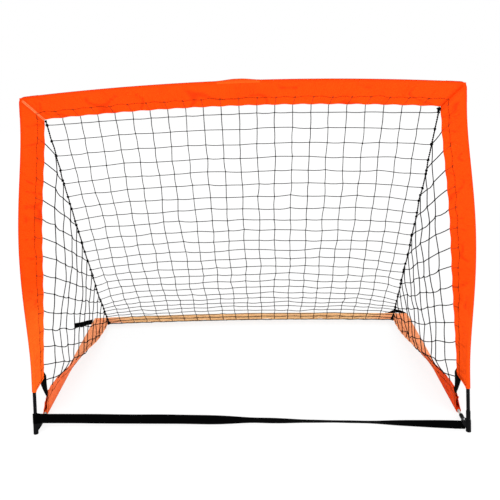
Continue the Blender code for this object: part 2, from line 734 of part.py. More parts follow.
def make_net(name, columns, rows, first_row, place, body):
    """A net of square strands, from a grid of faces."""
    bm = bmesh.new()
    shares = [first_row + (1 - first_row) * j / rows for j in range(rows + 1)]
    grid = [[bm.verts.new(place(i / columns, share)) for i in range(columns + 1)] for share in shares]
    for upper, lower in zip(grid, grid[1:]):
        for i in range(columns):
            bm.faces.new((upper[i], upper[i + 1], lower[i + 1], lower[i]))
    net = object_from(name, bm)
    strands = net.modifiers.new("strands", "WIREFRAME")
    strands.thickness = STRAND
    strands.use_even_offset = False
    strands.use_boundary = True
    strands.use_replace = True
    finish(net, BLACK_NET, BODIES[body])
    net.data.shade_flat()


def make_nets():
    """The back net in two halves, the side nets, and the cords along the edges between them."""
    for side, word in SIDES.items():
        make_net(
            f"back_net_{word}",
            NET_COLUMNS,
            NET_ROWS,
            0.0,
            lambda column, row, s=side: back_net_point(s, column, row),
            f"crossbar_{word}",
        )
        make_net(
            f"side_net_{word}",
            SIDE_COLUMNS,
            SIDE_ROWS,
            SIDE_TOP,
            lambda column, row, s=side: side_net_point(s, column, row),
            f"post_{word}",
        )
        steps = 16
        points = [cord_point(side, i / steps) for i in range(steps + 1)]
        cord = tube(f"net_edge_cord_{word}", points, CORD_RADIUS, resolution=2)
        finish(cord, BLACK_NET, BODIES[f"post_{word}"])


# Webbing

def strap_end(side):
    """The loop at the left end of the ground strap, from its sewn tail round the boot to its run: a path."""
    radius = BOOT_NECK_RADIUS + FIT + WEBBING / 2
    middle = STRAP_LOW + STRAP_WIDTH / 2
    along = FRONT.matrix.to_3x3() @ Vector((0, 1, 0))
    across, apart = side * HALF_WIDTH, WEBBING / 2 + FIT

    def at(inward, out, face):
        point = FRONT.point(across - side * inward, middle, out)
        return point, along, FRONT.matrix.to_3x3() @ Vector((-side * face[0], 0.0, face[1]))

    path = [at(inward, -apart, (0.0, 1.0)) for inward in (STRAP_TAIL, STRAP_TAIL / 2)]
    turns = 14
    lead = math.radians(35)
    for i in range(turns + 1):
        angle = -lead - (2 * math.pi - 2 * lead) * i / turns
        face = (-math.cos(angle), -math.sin(angle))
        path.append(at(radius * math.cos(angle), radius * math.sin(angle), face))
    path.append(at(STRAP_TAIL / 2, apart, (0.0, -1.0)))
    return path


def make_ground_strap():
    """Flat webbing from foot to foot: looped round the left boot, and fixed behind the right one's shoulder."""
    left = strap_end(LEFT)
    along = FRONT.matrix.to_3x3() @ Vector((0, 1, 0))
    face = FRONT.matrix.to_3x3() @ Vector((0, 0, -1))
    behind = -SHOULDER_HALF - FIT - WEBBING / 2
    low = (STRAP_RIGHT_HEIGHT - FRONT.point(0, 0, behind).z) / math.cos(LEAN_ANGLE)
    end = FRONT.point(HALF_WIDTH - STRAP_RIGHT_END, low, behind)
    steps = 24
    run = []
    for i in range(steps + 1):
        share = i / steps
        point = left[-1][0].lerp(end, share)
        point += along * ((end - left[-1][0]).dot(along) * (share ** STRAP_FALL - share))
        point.z -= STRAP_DIP * math.sin(math.pi * share)
        angle = math.radians(STRAP_FLAT) * smoothstep(0.25, 0.60, share) * (1 - smoothstep(0.72, 0.98, share))
        turn = Matrix.Rotation(angle, 3, "X")
        run.append((point, turn @ along, turn @ face))
    path = [*left[:-1], *run]
    finish(ribbon("ground_strap", path, STRAP_WIDTH / 2, WEBBING / 2), BLACK_WEBBING, BODIES["post_left"])


def make_link_tab(side, word):
    """Webbing that joins the foot of the post sleeve's inner edge to the front of the base sleeve's."""
    inner = SLEEVE_WIDTH - FIT
    tops, lows = (inner - TAB_WIDTH / POST_TAPER, inner), (inner - TAB_WIDTH, inner)
    below = FRONT.matrix.to_3x3() @ Vector((0.0, -TAB_GAP, 0.0))
    before = Vector((0.0, -TAB_GAP, 0.0))
    top_outer, top_inner = (side_sleeve_point(FRONT, side, 0.0, i, 0.0) + below for i in tops)
    low_outer, low_inner = (side_sleeve_point(BASE, side, 0.0, i, 0.0) + before for i in lows)
    rise = top_inner - low_inner
    rings = []
    steps = 5
    for i in range(steps + 1):
        share = i / steps
        outer = top_outer.lerp(low_outer, share)
        inner = top_inner.lerp(low_inner, share)
        face = (inner - outer).cross(rise).normalized() * (WEBBING / 2)
        rings.append([outer - face, inner - face, inner + face, outer + face])
    finish(loft(f"link_tab_{word}", rings), BLACK_WEBBING, BODIES[f"base_{word}"])


def make_ties():
    """The straps that bind the folded goal: the left one stands open on edge, the right one is folded behind."""
    height = TIE_HEIGHT + TIE_WIDTH / 2
    edge = HALF_WIDTH + TIE_SEAT
    way = Vector((-1, -TIE_SLANT, 0)).normalized()
    steps = 4
    path = []
    for i in range(steps + 1):
        start = Vector((-edge, HUB_Y + DEPTH - TIE_SETBACK, height))
        path.append((start + way * (TIE_LENGTH * i / steps), Vector((0, 0, 1)), way.cross(Vector((0, 0, 1)))))
    tie = ribbon("rear_tie_left", path, TIE_WIDTH / 2, WEBBING / 2)
    finish(tie, BLACK_WEBBING, BODIES["base_left"])

    rings = 10
    path = []
    for i in range(rings + 1):
        share = i / rings
        across = HALF_WIDTH + 0.002 - FOLDED_TIE_REACH * share
        bulge = math.sin(math.pi * min(share * 1.15, 1.0))
        behind = BASE.bar_along(across) + SLEEVE_END_RADIUS + FIT * 2 + WEBBING / 2
        height = TIE_HEIGHT + TIE_WIDTH * 0.3 + FOLDED_TIE_RISE * bulge
        point = Vector((across, HUB_Y + behind + FOLDED_TIE_RISE * bulge, height))
        path.append((point, Vector((0, 0.25 * bulge, 1)), Vector((0, 1, -0.25 * bulge))))
    tie = ribbon("rear_tie_right", path, TIE_WIDTH * 0.3, WEBBING / 2)
    finish(tie, BLACK_WEBBING, BODIES["base_right"])


def main():
    """Makes every piece of the goal."""
    make_rods()
    make_hinges()
    for side, word in SIDES.items():
        make_foot(side, word)
        make_leg(side, word)
        make_fork(side, word)
        make_link_tab(side, word)
    make_sleeves()
    make_nets()
    make_ground_strap()
    make_ties()


main()
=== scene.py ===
"""Dresses the folding soccer goal with its cloth sleeves, knotted net, cords and webbing.

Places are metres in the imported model's frame, +Z up, with the mouth of the goal facing -Y. Two
flat frames carry the goal: the base lies on the ground, and the front frame leans back from the
two front hubs. A place on a frame is (across, along, out): across the goal, along the side rods
from the hubs, and out of the frame, which is up for the base and forward for the front.
"""

from __future__ import annotations

import logging
import math
import random
from dataclasses import dataclass, field
from enum import Enum
from typing import Sequence

import bmesh
import bpy
from mathutils import Matrix, Vector, noise


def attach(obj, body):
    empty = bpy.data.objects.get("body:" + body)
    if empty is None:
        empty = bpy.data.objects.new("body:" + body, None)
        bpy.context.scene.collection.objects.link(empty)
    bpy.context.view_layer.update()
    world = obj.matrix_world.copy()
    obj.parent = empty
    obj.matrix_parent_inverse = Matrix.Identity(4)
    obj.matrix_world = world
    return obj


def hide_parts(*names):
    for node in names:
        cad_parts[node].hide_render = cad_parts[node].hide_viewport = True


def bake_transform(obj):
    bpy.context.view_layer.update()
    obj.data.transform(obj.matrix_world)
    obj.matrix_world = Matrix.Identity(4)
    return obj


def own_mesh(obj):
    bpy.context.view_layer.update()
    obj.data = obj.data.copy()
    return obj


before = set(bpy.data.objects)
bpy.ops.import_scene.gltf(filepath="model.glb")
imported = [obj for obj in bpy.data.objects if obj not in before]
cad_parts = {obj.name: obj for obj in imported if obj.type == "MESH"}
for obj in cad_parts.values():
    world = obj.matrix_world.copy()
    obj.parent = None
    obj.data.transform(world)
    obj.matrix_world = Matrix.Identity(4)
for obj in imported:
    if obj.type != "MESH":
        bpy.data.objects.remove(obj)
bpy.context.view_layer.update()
LOG = logging.getLogger("folding_goal")

Socket = bpy.types.NodeSocket
Line = Sequence[Vector]
Station = tuple[Vector, Vector, Vector]  # a point of webbing, its width direction and its face's

# Sizes shared by several sub-assemblies
HALF_WIDTH = 0.600  # centre plane to the axis of each side's rods
DEPTH = 0.760  # hub hinges to the axis of the rear rods, at the corners
POST_HEIGHT = 0.930  # ground to the axis of the crossbar rods, at the corners
LEAN_ANGLE = math.radians(9.0)
BAR_BOW = 0.025
POST_BOW = 0.020
BOW_START = 0.140
BOW_STOP = 0.066
ROD_HEIGHT = 0.0072
PIVOT_HEIGHT = 0.022
POST_SETBACK = 0.014
BOOT_RADIUS = 0.007
BOOT_NECK_RADIUS = 0.006
CORNER_INSET = 0.0066
SLEEVE_WIDTH = 0.062  # rod axis to the cloth's inner edge
SLEEVE_CENTRE_RADIUS = 0.0145
CLOTH_WALL = 0.0005
FIT = 0.0003
BOOT_REACH = (POST_SETBACK + BOOT_RADIUS) / math.cos(LEAN_ANGLE)
FRONT_REACH = BOOT_REACH + PIVOT_HEIGHT * math.tan(LEAN_ANGLE)
HUB_Y = (FRONT_REACH - DEPTH - BAR_BOW - SLEEVE_CENTRE_RADIUS) / 2
HUB = Vector((0.0, HUB_Y, PIVOT_HEIGHT))
POST_RISE = POST_HEIGHT - PIVOT_HEIGHT - POST_SETBACK * math.sin(LEAN_ANGLE)
POST_ALONG = POST_RISE / math.cos(LEAN_ANGLE)
NET_COLUMNS = 11  # cells across each half of the back net
NET_ROWS = 24.7  # cells down the back net; the first is cut short by the crossbar's cloth
SIDE_COLUMNS = 13
SIDE_ROWS = 15.4
GROUND_GAP = 0.0026  # the least height of a strand's axis
NO_STRAND = 0.5  # cloth at this place in the net's pitch shows no strand through it


class Side(Enum):
    """The two sides of the goal, seen from the front."""

    LEFT = -1
    RIGHT = 1

    @property
    def word(self) -> str:
        """The side's name in a node or body."""
        return self.name.lower()


class Rail(Enum):
    """Which rods of a flat frame a piece follows."""

    UPRIGHT = "side rods"
    BAR = "bar"


class Slot(Enum):
    """The record's material slots for the soft pieces."""

    CLOTH = "orange_cloth"
    NET = "black_net"
    WEBBING = "black_webbing"


def smoothstep(low: float, high: float, value: float) -> float:
    """Rises smoothly from 0 to 1.

    Args:
        low: Where the rise starts.
        high: Where it ends.
        value: Where it is read.

    Returns:
        0 below low, 1 above high, and a smooth rise between.
    """
    share = min(max((value - low) / (high - low), 0.0), 1.0)
    return share * share * (3 - 2 * share)


def ridge(distance: float, middle: float, width: float) -> float:
    """A rounded ridge of height 1, at the middle given, which fades away over about its width."""
    return math.exp(-(((distance - middle) / width) ** 2))


def turned(inward: float, out: float, degrees: float) -> tuple[float, float]:
    """Turns a section point about the rod; above 0 the inner edge is lifted out of the frame."""
    cos, sin = math.cos(math.radians(degrees)), math.sin(math.radians(degrees))
    return inward * cos - out * sin, out * cos + inward * sin


@dataclass(frozen=True)
class FlatFrame:
    """One of the two flat frames: its place, the length of its side rods, and their bow."""

    title: str
    upright: str
    bar: str
    matrix: Matrix
    length: float
    bow: float
    droop: float  # how far its bar's sleeve is turned about the rod, in degrees

    def point(self, across: float, along: float, out: float = 0.0) -> Vector:
        """A point of the frame, in the world."""
        return self.matrix @ Vector((across, along, out))

    def way(self, across: float, along: float, out: float) -> Vector:
        """A direction of the frame, in the world."""
        return self.matrix.to_3x3() @ Vector((across, along, out))

    def side_across(self, along: float) -> float:
        """How far the side rod's axis is from the centre plane."""
        share = (along - BOW_START) / (self.length - BOW_STOP - BOW_START)
        share = min(max(share, 0.0), 1.0)
        return HALF_WIDTH + 16 * self.bow * (share * (1 - share)) ** 2

    def bar_along(self, across: float) -> float:
        """How far along the frame the bar's axis is."""
        return self.length + BAR_BOW * (1 - (across / HALF_WIDTH) ** 2)

    def corner(self, inset: float) -> tuple[float, float]:
        """Where a line inset from the side rod meets the same line along the bar.

        Args:
            inset: Distance inward from both rods.

        Returns:
            The place as (across, along).
        """
        across, along = HALF_WIDTH - inset, self.length - inset
        for _ in range(12):
            across = self.side_across(along) - inset
            along = self.bar_along(across) - inset
        return across, along

    def mitre(self, inward: float, out: float) -> tuple[float, float]:
        """Where a point of a sleeve's section meets its neighbour's at the corner."""
        return self.corner(turned(inward, out, self.droop)[0])


def front_matrix() -> Matrix:
    """The front frame's place: its axes are across, up the leaning posts, and forward."""
    along = Vector((0.0, math.sin(LEAN_ANGLE), math.cos(LEAN_ANGLE)))
    out = Vector((0.0, -math.cos(LEAN_ANGLE), math.sin(LEAN_ANGLE)))
    turn = Matrix((Vector((1.0, 0.0, 0.0)), along, out)).transposed().to_4x4()
    return Matrix.Translation(HUB + out * POST_SETBACK) @ turn


FRONT = FlatFrame("top", "post", "crossbar", front_matrix(), POST_ALONG, POST_BOW, 0.0)
GROUND = Matrix.Translation((0.0, HUB_Y, ROD_HEIGHT))
BASE = FlatFrame("rear", "base", "rear", GROUND, DEPTH, 0.0, 9.0)


# Meshes

@dataclass
class Skin:
    """The points and faces of one surface, with what its finish reads at each place."""

    points: list[Vector] = field(default_factory=list)
    faces: list[tuple[int, ...]] = field(default_factory=list)
    corners: list[tuple[float, float]] = field(default_factory=list)
    marks: dict[str, Sequence[float]] = field(default_factory=dict)

    def add_rings(
        self,
        rings: Sequence[Line],
        along: Sequence[float],
        across: Sequence[float],
        closed: bool = False,
        capped: bool = False,
    ) -> None:
        """Skins a row of rings.

        Args:
            rings: Rings of points, all with as many points.
            along: The UV map's u at each ring, in metres.
            across: Its v at each point of a ring, in metres, with one more value if closed.
            closed: Whether each ring's last point joins its first.
            capped: Whether the first and last rings are filled.
        """
        base, count = len(self.points), len(rings[0])
        for ring in rings:
            self.points.extend(ring)
        for i in range(len(rings) - 1):
            for j in range(count if closed else count - 1):
                k = (j + 1) % count
                low, high = base + i * count, base + (i + 1) * count
                self.faces.append((low + j, high + j, high + k, low + k))
                u0, u1, v0, v1 = along[i], along[i + 1], across[j], across[j + 1]
                self.corners.extend([(u0, v0), (u1, v0), (u1, v1), (u0, v1)])
        if capped:
            for i in (0, len(rings) - 1):
                self.faces.append(tuple(base + i * count + j for j in range(count)))
                self.corners.extend((along[i], across[j]) for j in range(count))

    def add_channel(
        self, rings: Sequence[Line], along: Sequence[float], radius: float, fades: Sequence[float]
    ) -> None:
        """Skins the cloth round a rod, with painted shade all round it, deepest on its outer side,
        and no net sewn to it.

        Args:
            rings: Its rings of points.
            along: The UV map's u at each ring, in metres.
            radius: Its radius.
            fades: How far each ring has bleached.
        """
        turns = len(rings[0])
        around = [math.tau * radius * j / turns for j in range(turns + 1)]
        self.add_rings(rings, along, around, closed=True)
        # painted shade round the rod, deepest on its outer side
        painted_rim_shade = [-0.30 - 0.45 * max(0.0, -math.cos(math.tau * j / turns)) for j in range(turns)]
        self.marks["fade"] = [fade for fade in fades for _ in range(turns)]
        self.marks["pitch"] = [NO_STRAND] * (turns * len(rings))
        self.marks["painted_shading"] = painted_rim_shade * len(rings)

    def make(self, name: str, material: bpy.types.Material, wall: float = 0.0) -> bpy.types.Object:
        """Makes the object, with its faces outward.

        Args:
            name: The object's name.
            material: Its finish.
            wall: The thickness given to an open surface, inward.

        Returns:
            The finished object, at the origin.
        """
        mesh = bpy.data.meshes.new(name)
        mesh.from_pydata(self.points, [], self.faces)
        layer = mesh.uv_layers.new(name="UVMap")
        layer.data.foreach_set("uv", [value for corner in self.corners for value in corner])
        for title, values in self.marks.items():
            attribute = mesh.attributes.new(title, "FLOAT", "POINT")
            attribute.data.foreach_set("value", values)
        turn_outward(mesh)
        made = bpy.data.objects.new(name, mesh)
        bpy.context.scene.collection.objects.link(made)
        mesh.materials.append(material)
        if wall:
            thick = made.modifiers.new("wall", "SOLIDIFY")
            thick.thickness = wall
            thick.offset = -1.0
            thick.use_even_offset = False
            settle(made)
        made.data.shade_smooth()
        made.data.set_sharp_from_angle(angle=math.radians(50))
        return made


def turn_outward(mesh: bpy.types.Mesh) -> None:
    """Turns a mesh's faces outward, judged by the volume they hold round their own middle."""
    bm = bmesh.new()
    bm.from_mesh(mesh)
    bmesh.ops.recalc_face_normals(bm, faces=bm.faces)
    middle = sum((vert.co for vert in bm.verts), Vector()) / max(len(bm.verts), 1)
    bmesh.ops.translate(bm, verts=bm.verts, vec=-middle)
    if bm.calc_volume(signed=True) < 0:
        bmesh.ops.reverse_faces(bm, faces=bm.faces)
    bmesh.ops.translate(bm, verts=bm.verts, vec=middle)
    bm.to_mesh(mesh)
    bm.free()


def settle(made: bpy.types.Object) -> None:
    """Applies an object's modifiers to a plain mesh of its own."""
    graph = bpy.context.evaluated_depsgraph_get()
    graph.update()
    mesh = bpy.data.meshes.new_from_object(made.evaluated_get(graph), depsgraph=graph)
    mesh.name = made.name
    made.modifiers.clear()
    made.data = mesh


def lines_mesh(
    name: str, lines: Sequence[Line], knots: Sequence[Sequence[bool]] | None = None
) -> bpy.types.Mesh:
    """A mesh of separate chains of edges.

    Args:
        name: The mesh's name.
        lines: The chains' points.
        knots: Whether each point carries a knot; none does if this is left out.

    Returns:
        The mesh, with the knots in a point attribute.
    """
    mesh = bpy.data.meshes.new(name)
    points: list[Vector] = []
    edges: list[tuple[int, int]] = []
    for line in lines:
        edges.extend((len(points) + i, len(points) + i + 1) for i in range(len(line) - 1))
        points.extend(line)
    mesh.from_pydata(points, edges, [])
    attribute = mesh.attributes.new("knot", "BOOLEAN", "POINT")
    flags = [tied for row in knots for tied in row] if knots else [False] * len(points)
    attribute.data.foreach_set("value", flags)
    return mesh


def running_lengths(points: Line) -> list[float]:
    """The length of a path up to each of its points."""
    lengths = [0.0]
    for before, after in zip(points, points[1:]):
        lengths.append(lengths[-1] + (after - before).length)
    return lengths


# Nodes

def linear(code: str) -> tuple[float, float, float, float]:
    """Turns an sRGB hex colour to linear red, green, blue and alpha."""
    channels = [int(code[i : i + 2], 16) / 255 for i in (1, 3, 5)]
    curve = [c / 12.92 if c <= 0.04045 else ((c + 0.055) / 1.055) ** 2.4 for c in channels]
    return (curve[0], curve[1], curve[2], 1.0)


class Nodes:
    """A node tree, with short ways to add the nodes that several trees share."""

    def __init__(self, tree: bpy.types.NodeTree) -> None:
        """Starts on a tree."""
        self.tree = tree

    def add(self, kind: str, inputs: dict | None = None, **options: object) -> bpy.types.Node:
        """Adds a node.

        Args:
            kind: The node's type.
            inputs: What its inputs get, by name or number: a value, or a socket to link.
            **options: The node's own properties.

        Returns:
            The node.
        """
        node = self.tree.nodes.new(kind)
        for name, value in options.items():
            setattr(node, name, value)
        for name, source in (inputs or {}).items():
            if isinstance(source, Socket):
                self.tree.links.new(source, node.inputs[name])
            else:
                node.inputs[name].default_value = source
        return node

    def math(self, operation: str, *values: Socket | float) -> Socket:
        """The result of a sum on sockets or numbers."""
        return self.add("ShaderNodeMath", dict(enumerate(values)), operation=operation).outputs[0]

    def mapped(
        self, value: Socket, low: float, high: float, first: Socket | float, last: Socket | float
    ) -> Socket:
        """A value that runs from first to last as another runs from low to high."""
        inputs = {0: value, 1: low, 2: high, 3: first, 4: last}
        return self.add("ShaderNodeMapRange", inputs).outputs[0]

    def mix(
        self, share: Socket, first: Socket | str, second: Socket | str, blend: str = "MIX"
    ) -> Socket:
        """A mix of two colours, each a socket or an sRGB hex colour."""
        inputs = {0: share}
        for number, colour in ((6, first), (7, second)):
            inputs[number] = linear(colour) if isinstance(colour, str) else colour
        return self.add("ShaderNodeMix", inputs, data_type="RGBA", blend_type=blend).outputs[2]

    def seen_directly(self) -> Socket:
        """1 for what the camera and mirrors see, 0 for the light that falls on things."""
        path = self.add("ShaderNodeLightPath").outputs
        return self.math("MAXIMUM", path["Is Camera Ray"], path["Is Glossy Ray"])


class Growth(Nodes):
    """A geometry-nodes tree with named inputs, which grows solid detail along chains of edges."""

    def __init__(self, title: str, sizes: dict[str, float]) -> None:
        """Starts a tree with a geometry input, a number for each size, a seed and a material.

        Args:
            title: The tree's name.
            sizes: The default of each named size, in metres.
        """
        super().__init__(bpy.data.node_groups.new(title, "GeometryNodeTree"))
        new_socket = self.tree.interface.new_socket
        new_socket("Chains", in_out="INPUT", socket_type="NodeSocketGeometry")
        for name, value in sizes.items():
            socket = new_socket(name, in_out="INPUT", socket_type="NodeSocketFloat")
            socket.default_value = value
        new_socket("Seed", in_out="INPUT", socket_type="NodeSocketInt")
        new_socket("Material", in_out="INPUT", socket_type="NodeSocketMaterial")
        new_socket("Solid", in_out="OUTPUT", socket_type="NodeSocketGeometry")
        self.given = self.add("NodeGroupInput").outputs
        self.curve = self.add("GeometryNodeMeshToCurve", {0: self.given["Chains"]}).outputs[0]

    def join(self, *parts: Socket) -> Socket:
        """Several geometries as one."""
        node = self.add("GeometryNodeJoinGeometry")
        for part in parts:
            self.tree.links.new(part, node.inputs[0])
        return node.outputs[0]

    def random(self, least: float | tuple, most: float | tuple) -> Socket:
        """A number or vector drawn between two others, from the tree's seed."""
        vector = isinstance(least, tuple)
        first = 0 if vector else 2
        inputs = {first: least, first + 1: most, "Seed": self.given["Seed"]}
        kind = "FLOAT_VECTOR" if vector else "FLOAT"
        return self.add("FunctionNodeRandomValue", inputs, data_type=kind).outputs[first // 2]

    def spaced(self, pace: Socket) -> Socket:
        """The curve, with a point at every pace."""
        inputs = {"Curve": self.curve, "Length": pace}
        return self.add("GeometryNodeResampleCurve", inputs, mode="LENGTH").outputs[0]

    def circle(self, radius: Socket) -> Socket:
        """A round profile."""
        inputs = {"Resolution": 6, "Radius": radius}
        return self.add("GeometryNodeCurvePrimitiveCircle", inputs).outputs[0]

    def tube(self, curve: Socket, profile: Socket) -> Socket:
        """A profile swept along a curve, with closed ends."""
        inputs = {"Curve": curve, "Profile Curve": profile, "Fill Caps": True}
        return self.add("GeometryNodeCurveToMesh", inputs).outputs[0]

    def knots(self, scale: Socket | tuple[float, float, float]) -> Socket:
        """A lump at each marked point, turned at random."""
        tied = self.add("GeometryNodeInputNamedAttribute", {"Name": "knot"}, data_type="BOOLEAN")
        lump = {"Subdivisions": 2, "Radius": self.given["Knot Radius"]}
        inputs = {
            "Points": self.given["Chains"],
            "Selection": tied.outputs[0],
            "Instance": self.add("GeometryNodeMeshIcoSphere", lump).outputs[0],
            "Rotation": self.random((0.0, 0.0, 0.0), (math.tau, math.tau, math.tau)),
            "Scale": scale,
        }
        return self.add("GeometryNodeInstanceOnPoints", inputs).outputs[0]

    def end(self, grown: Socket) -> Growth:
        """Ends the tree in Realize Instances and Set Material.

        Args:
            grown: What the tree has grown.

        Returns:
            The growth, ready for use.
        """
        real = self.add("GeometryNodeRealizeInstances", {0: grown})
        smooth = self.add("GeometryNodeSetShadeSmooth", {"Geometry": real.outputs[0]})
        inputs = {"Geometry": smooth.outputs[0], "Material": self.given["Material"]}
        dressed = self.add("GeometryNodeSetMaterial", inputs)
        self.add("NodeGroupOutput", {0: dressed.outputs[0]})
        return self

    def grow(
        self,
        name: str,
        mesh: bpy.types.Mesh,
        material: bpy.types.Material,
        seed: int = 1,
        **sizes: float,
    ) -> bpy.types.Object:
        """Grows the detail on a mesh of chains.

        Args:
            name: The object's name.
            mesh: The chains.
            material: The finish of what grows.
            seed: The seed of the random draws.
            **sizes: Sizes that differ from the tree's defaults, with _ for a space.

        Returns:
            The finished object, a plain mesh at the origin.
        """
        made = bpy.data.objects.new(name, mesh)
        bpy.context.scene.collection.objects.link(made)
        modifier = made.modifiers.new("growth", "NODES")
        modifier.node_group = self.tree
        values: dict[str, object] = {key.replace("_", " "): value for key, value in sizes.items()}
        values.update({"Seed": seed, "Material": material})
        for item in self.tree.interface.items_tree:
            if item.in_out == "INPUT" and item.name in values:
                modifier[item.identifier] = values[item.name]
        settle(made)
        if material.name not in made.data.materials:
            made.data.materials.append(material)
        return made


def twine_growth() -> Growth:
    """Round twine along each chain, with a knot at each marked point."""
    growth = Growth("knotted_twine", {"Twine Radius": 0.0009, "Knot Radius": 0.0018})
    twine = growth.tube(growth.curve, growth.circle(growth.given["Twine Radius"]))
    knots = growth.knots(growth.random((0.85, 0.85, 0.7), (1.25, 1.1, 1.0)))
    return growth.end(growth.join(twine, knots))


def rope_growth() -> Growth:
    """Rope of two strands laid round each other, with a knot at each marked point."""
    growth = Growth("laid_rope", {"Strand Radius": 0.0013, "Lay": 0.014, "Knot Radius": 0.0041})
    radius, lay = growth.given["Strand Radius"], growth.given["Lay"]
    fine = growth.spaced(growth.math("DIVIDE", lay, 8.0))
    reach = growth.add("GeometryNodeSplineParameter").outputs["Length"]
    angle = growth.math("MULTIPLY", growth.math("DIVIDE", reach, lay), math.tau)
    laid = growth.add("GeometryNodeSetCurveTilt", {"Curve": fine, "Tilt": angle}).outputs[0]
    strand, strands = growth.circle(radius), []
    for way in (-0.9, 0.9):
        offset = growth.add("ShaderNodeCombineXYZ", {"X": growth.math("MULTIPLY", radius, way)})
        inputs = {"Geometry": strand, "Translation": offset.outputs[0]}
        strands.append(growth.add("GeometryNodeTransform", inputs).outputs[0])
    rope = growth.tube(laid, growth.join(*strands))
    return growth.end(growth.join(rope, growth.knots((1.0, 0.9, 1.15))))


def stitch_growth() -> Growth:
    """A row of separate stitches along each chain."""
    sizes = {"Pitch": 0.0066, "Stitch Length": 0.0046, "Thread Radius": 0.0005}
    growth = Growth("stitch_row", sizes)
    given = growth.given
    tangent = growth.add("GeometryNodeInputTangent").outputs[0]
    lying = growth.add("FunctionNodeAlignRotationToVector", {"Vector": tangent}, axis="Z")
    thread = {"Vertices": 6, "Radius": given["Thread Radius"], "Depth": given["Stitch Length"]}
    scale = growth.add("ShaderNodeCombineXYZ", {"X": 1.0, "Y": 1.0, "Z": growth.random(0.85, 1.1)})
    inputs = {
        "Points": growth.spaced(given["Pitch"]),
        "Instance": growth.add("GeometryNodeMeshCylinder", thread).outputs[0],
        "Rotation": lying.outputs[0],
        "Scale": scale.outputs[0],
    }
    return growth.end(growth.add("GeometryNodeInstanceOnPoints", inputs).outputs[0])


# Finishes

class Paint(Nodes):
    """A material's tree, with its Principled shader set."""

    def __init__(self, title: str, **sockets: float) -> None:
        """Starts the material.

        Args:
            title: The material's name.
            **sockets: Uniform values of the shader's sockets, with _ for a space.
        """
        self.made = bpy.data.materials.new(title)
        self.made.use_nodes = True
        super().__init__(self.made.node_tree)
        self.shader = self.tree.nodes["Principled BSDF"]
        for name, value in sockets.items():
            self.shader.inputs[name.replace("_", " ")].default_value = value
        self.place = self.add("ShaderNodeTexCoord").outputs["Object"]

    def uv(self) -> Socket:
        """The UV map, in metres."""
        return self.add("ShaderNodeUVMap", uv_map="UVMap").outputs[0]

    def attribute(self, name: str) -> Socket:
        """A value stored on the mesh."""
        return self.add("ShaderNodeAttribute", attribute_name=name).outputs["Fac"]

    def noise(
        self, place: Socket, scale: float, detail: float, rough: float = 0.5, warp: float = 0.0
    ) -> Socket:
        """Noise of a given scale, detail, roughness and distortion."""
        inputs = {"Vector": place, "Scale": scale, "Detail": detail}
        inputs.update({"Roughness": rough, "Distortion": warp})
        return self.add("ShaderNodeTexNoise", inputs).outputs[0]

    def bands(self, uv: Socket, way: str, size: float, **sockets: float) -> Socket:
        """Even threads or ribs of a given size, which follow one another along X or Y."""
        inputs = {"Vector": uv, "Scale": math.tau / 20 / size, **sockets}
        return self.add("ShaderNodeTexWave", inputs, bands_direction=way).outputs[1]

    def bump(
        self, height: Socket, strength: float, distance: float, below: Socket | None = None
    ) -> Socket:
        """A bump from a height, on top of another bump if one is given."""
        inputs = {"Height": height, "Strength": strength, "Distance": distance}
        if below:
            inputs["Normal"] = below
        return self.add("ShaderNodeBump", inputs).outputs[0]

    def finish(self, colour: Socket, normal: Socket) -> bpy.types.Material:
        """Gives the shader its colour and normal, and returns the material."""
        self.tree.links.new(colour, self.shader.inputs["Base Color"])
        self.tree.links.new(normal, self.shader.inputs["Normal"])
        return self.made


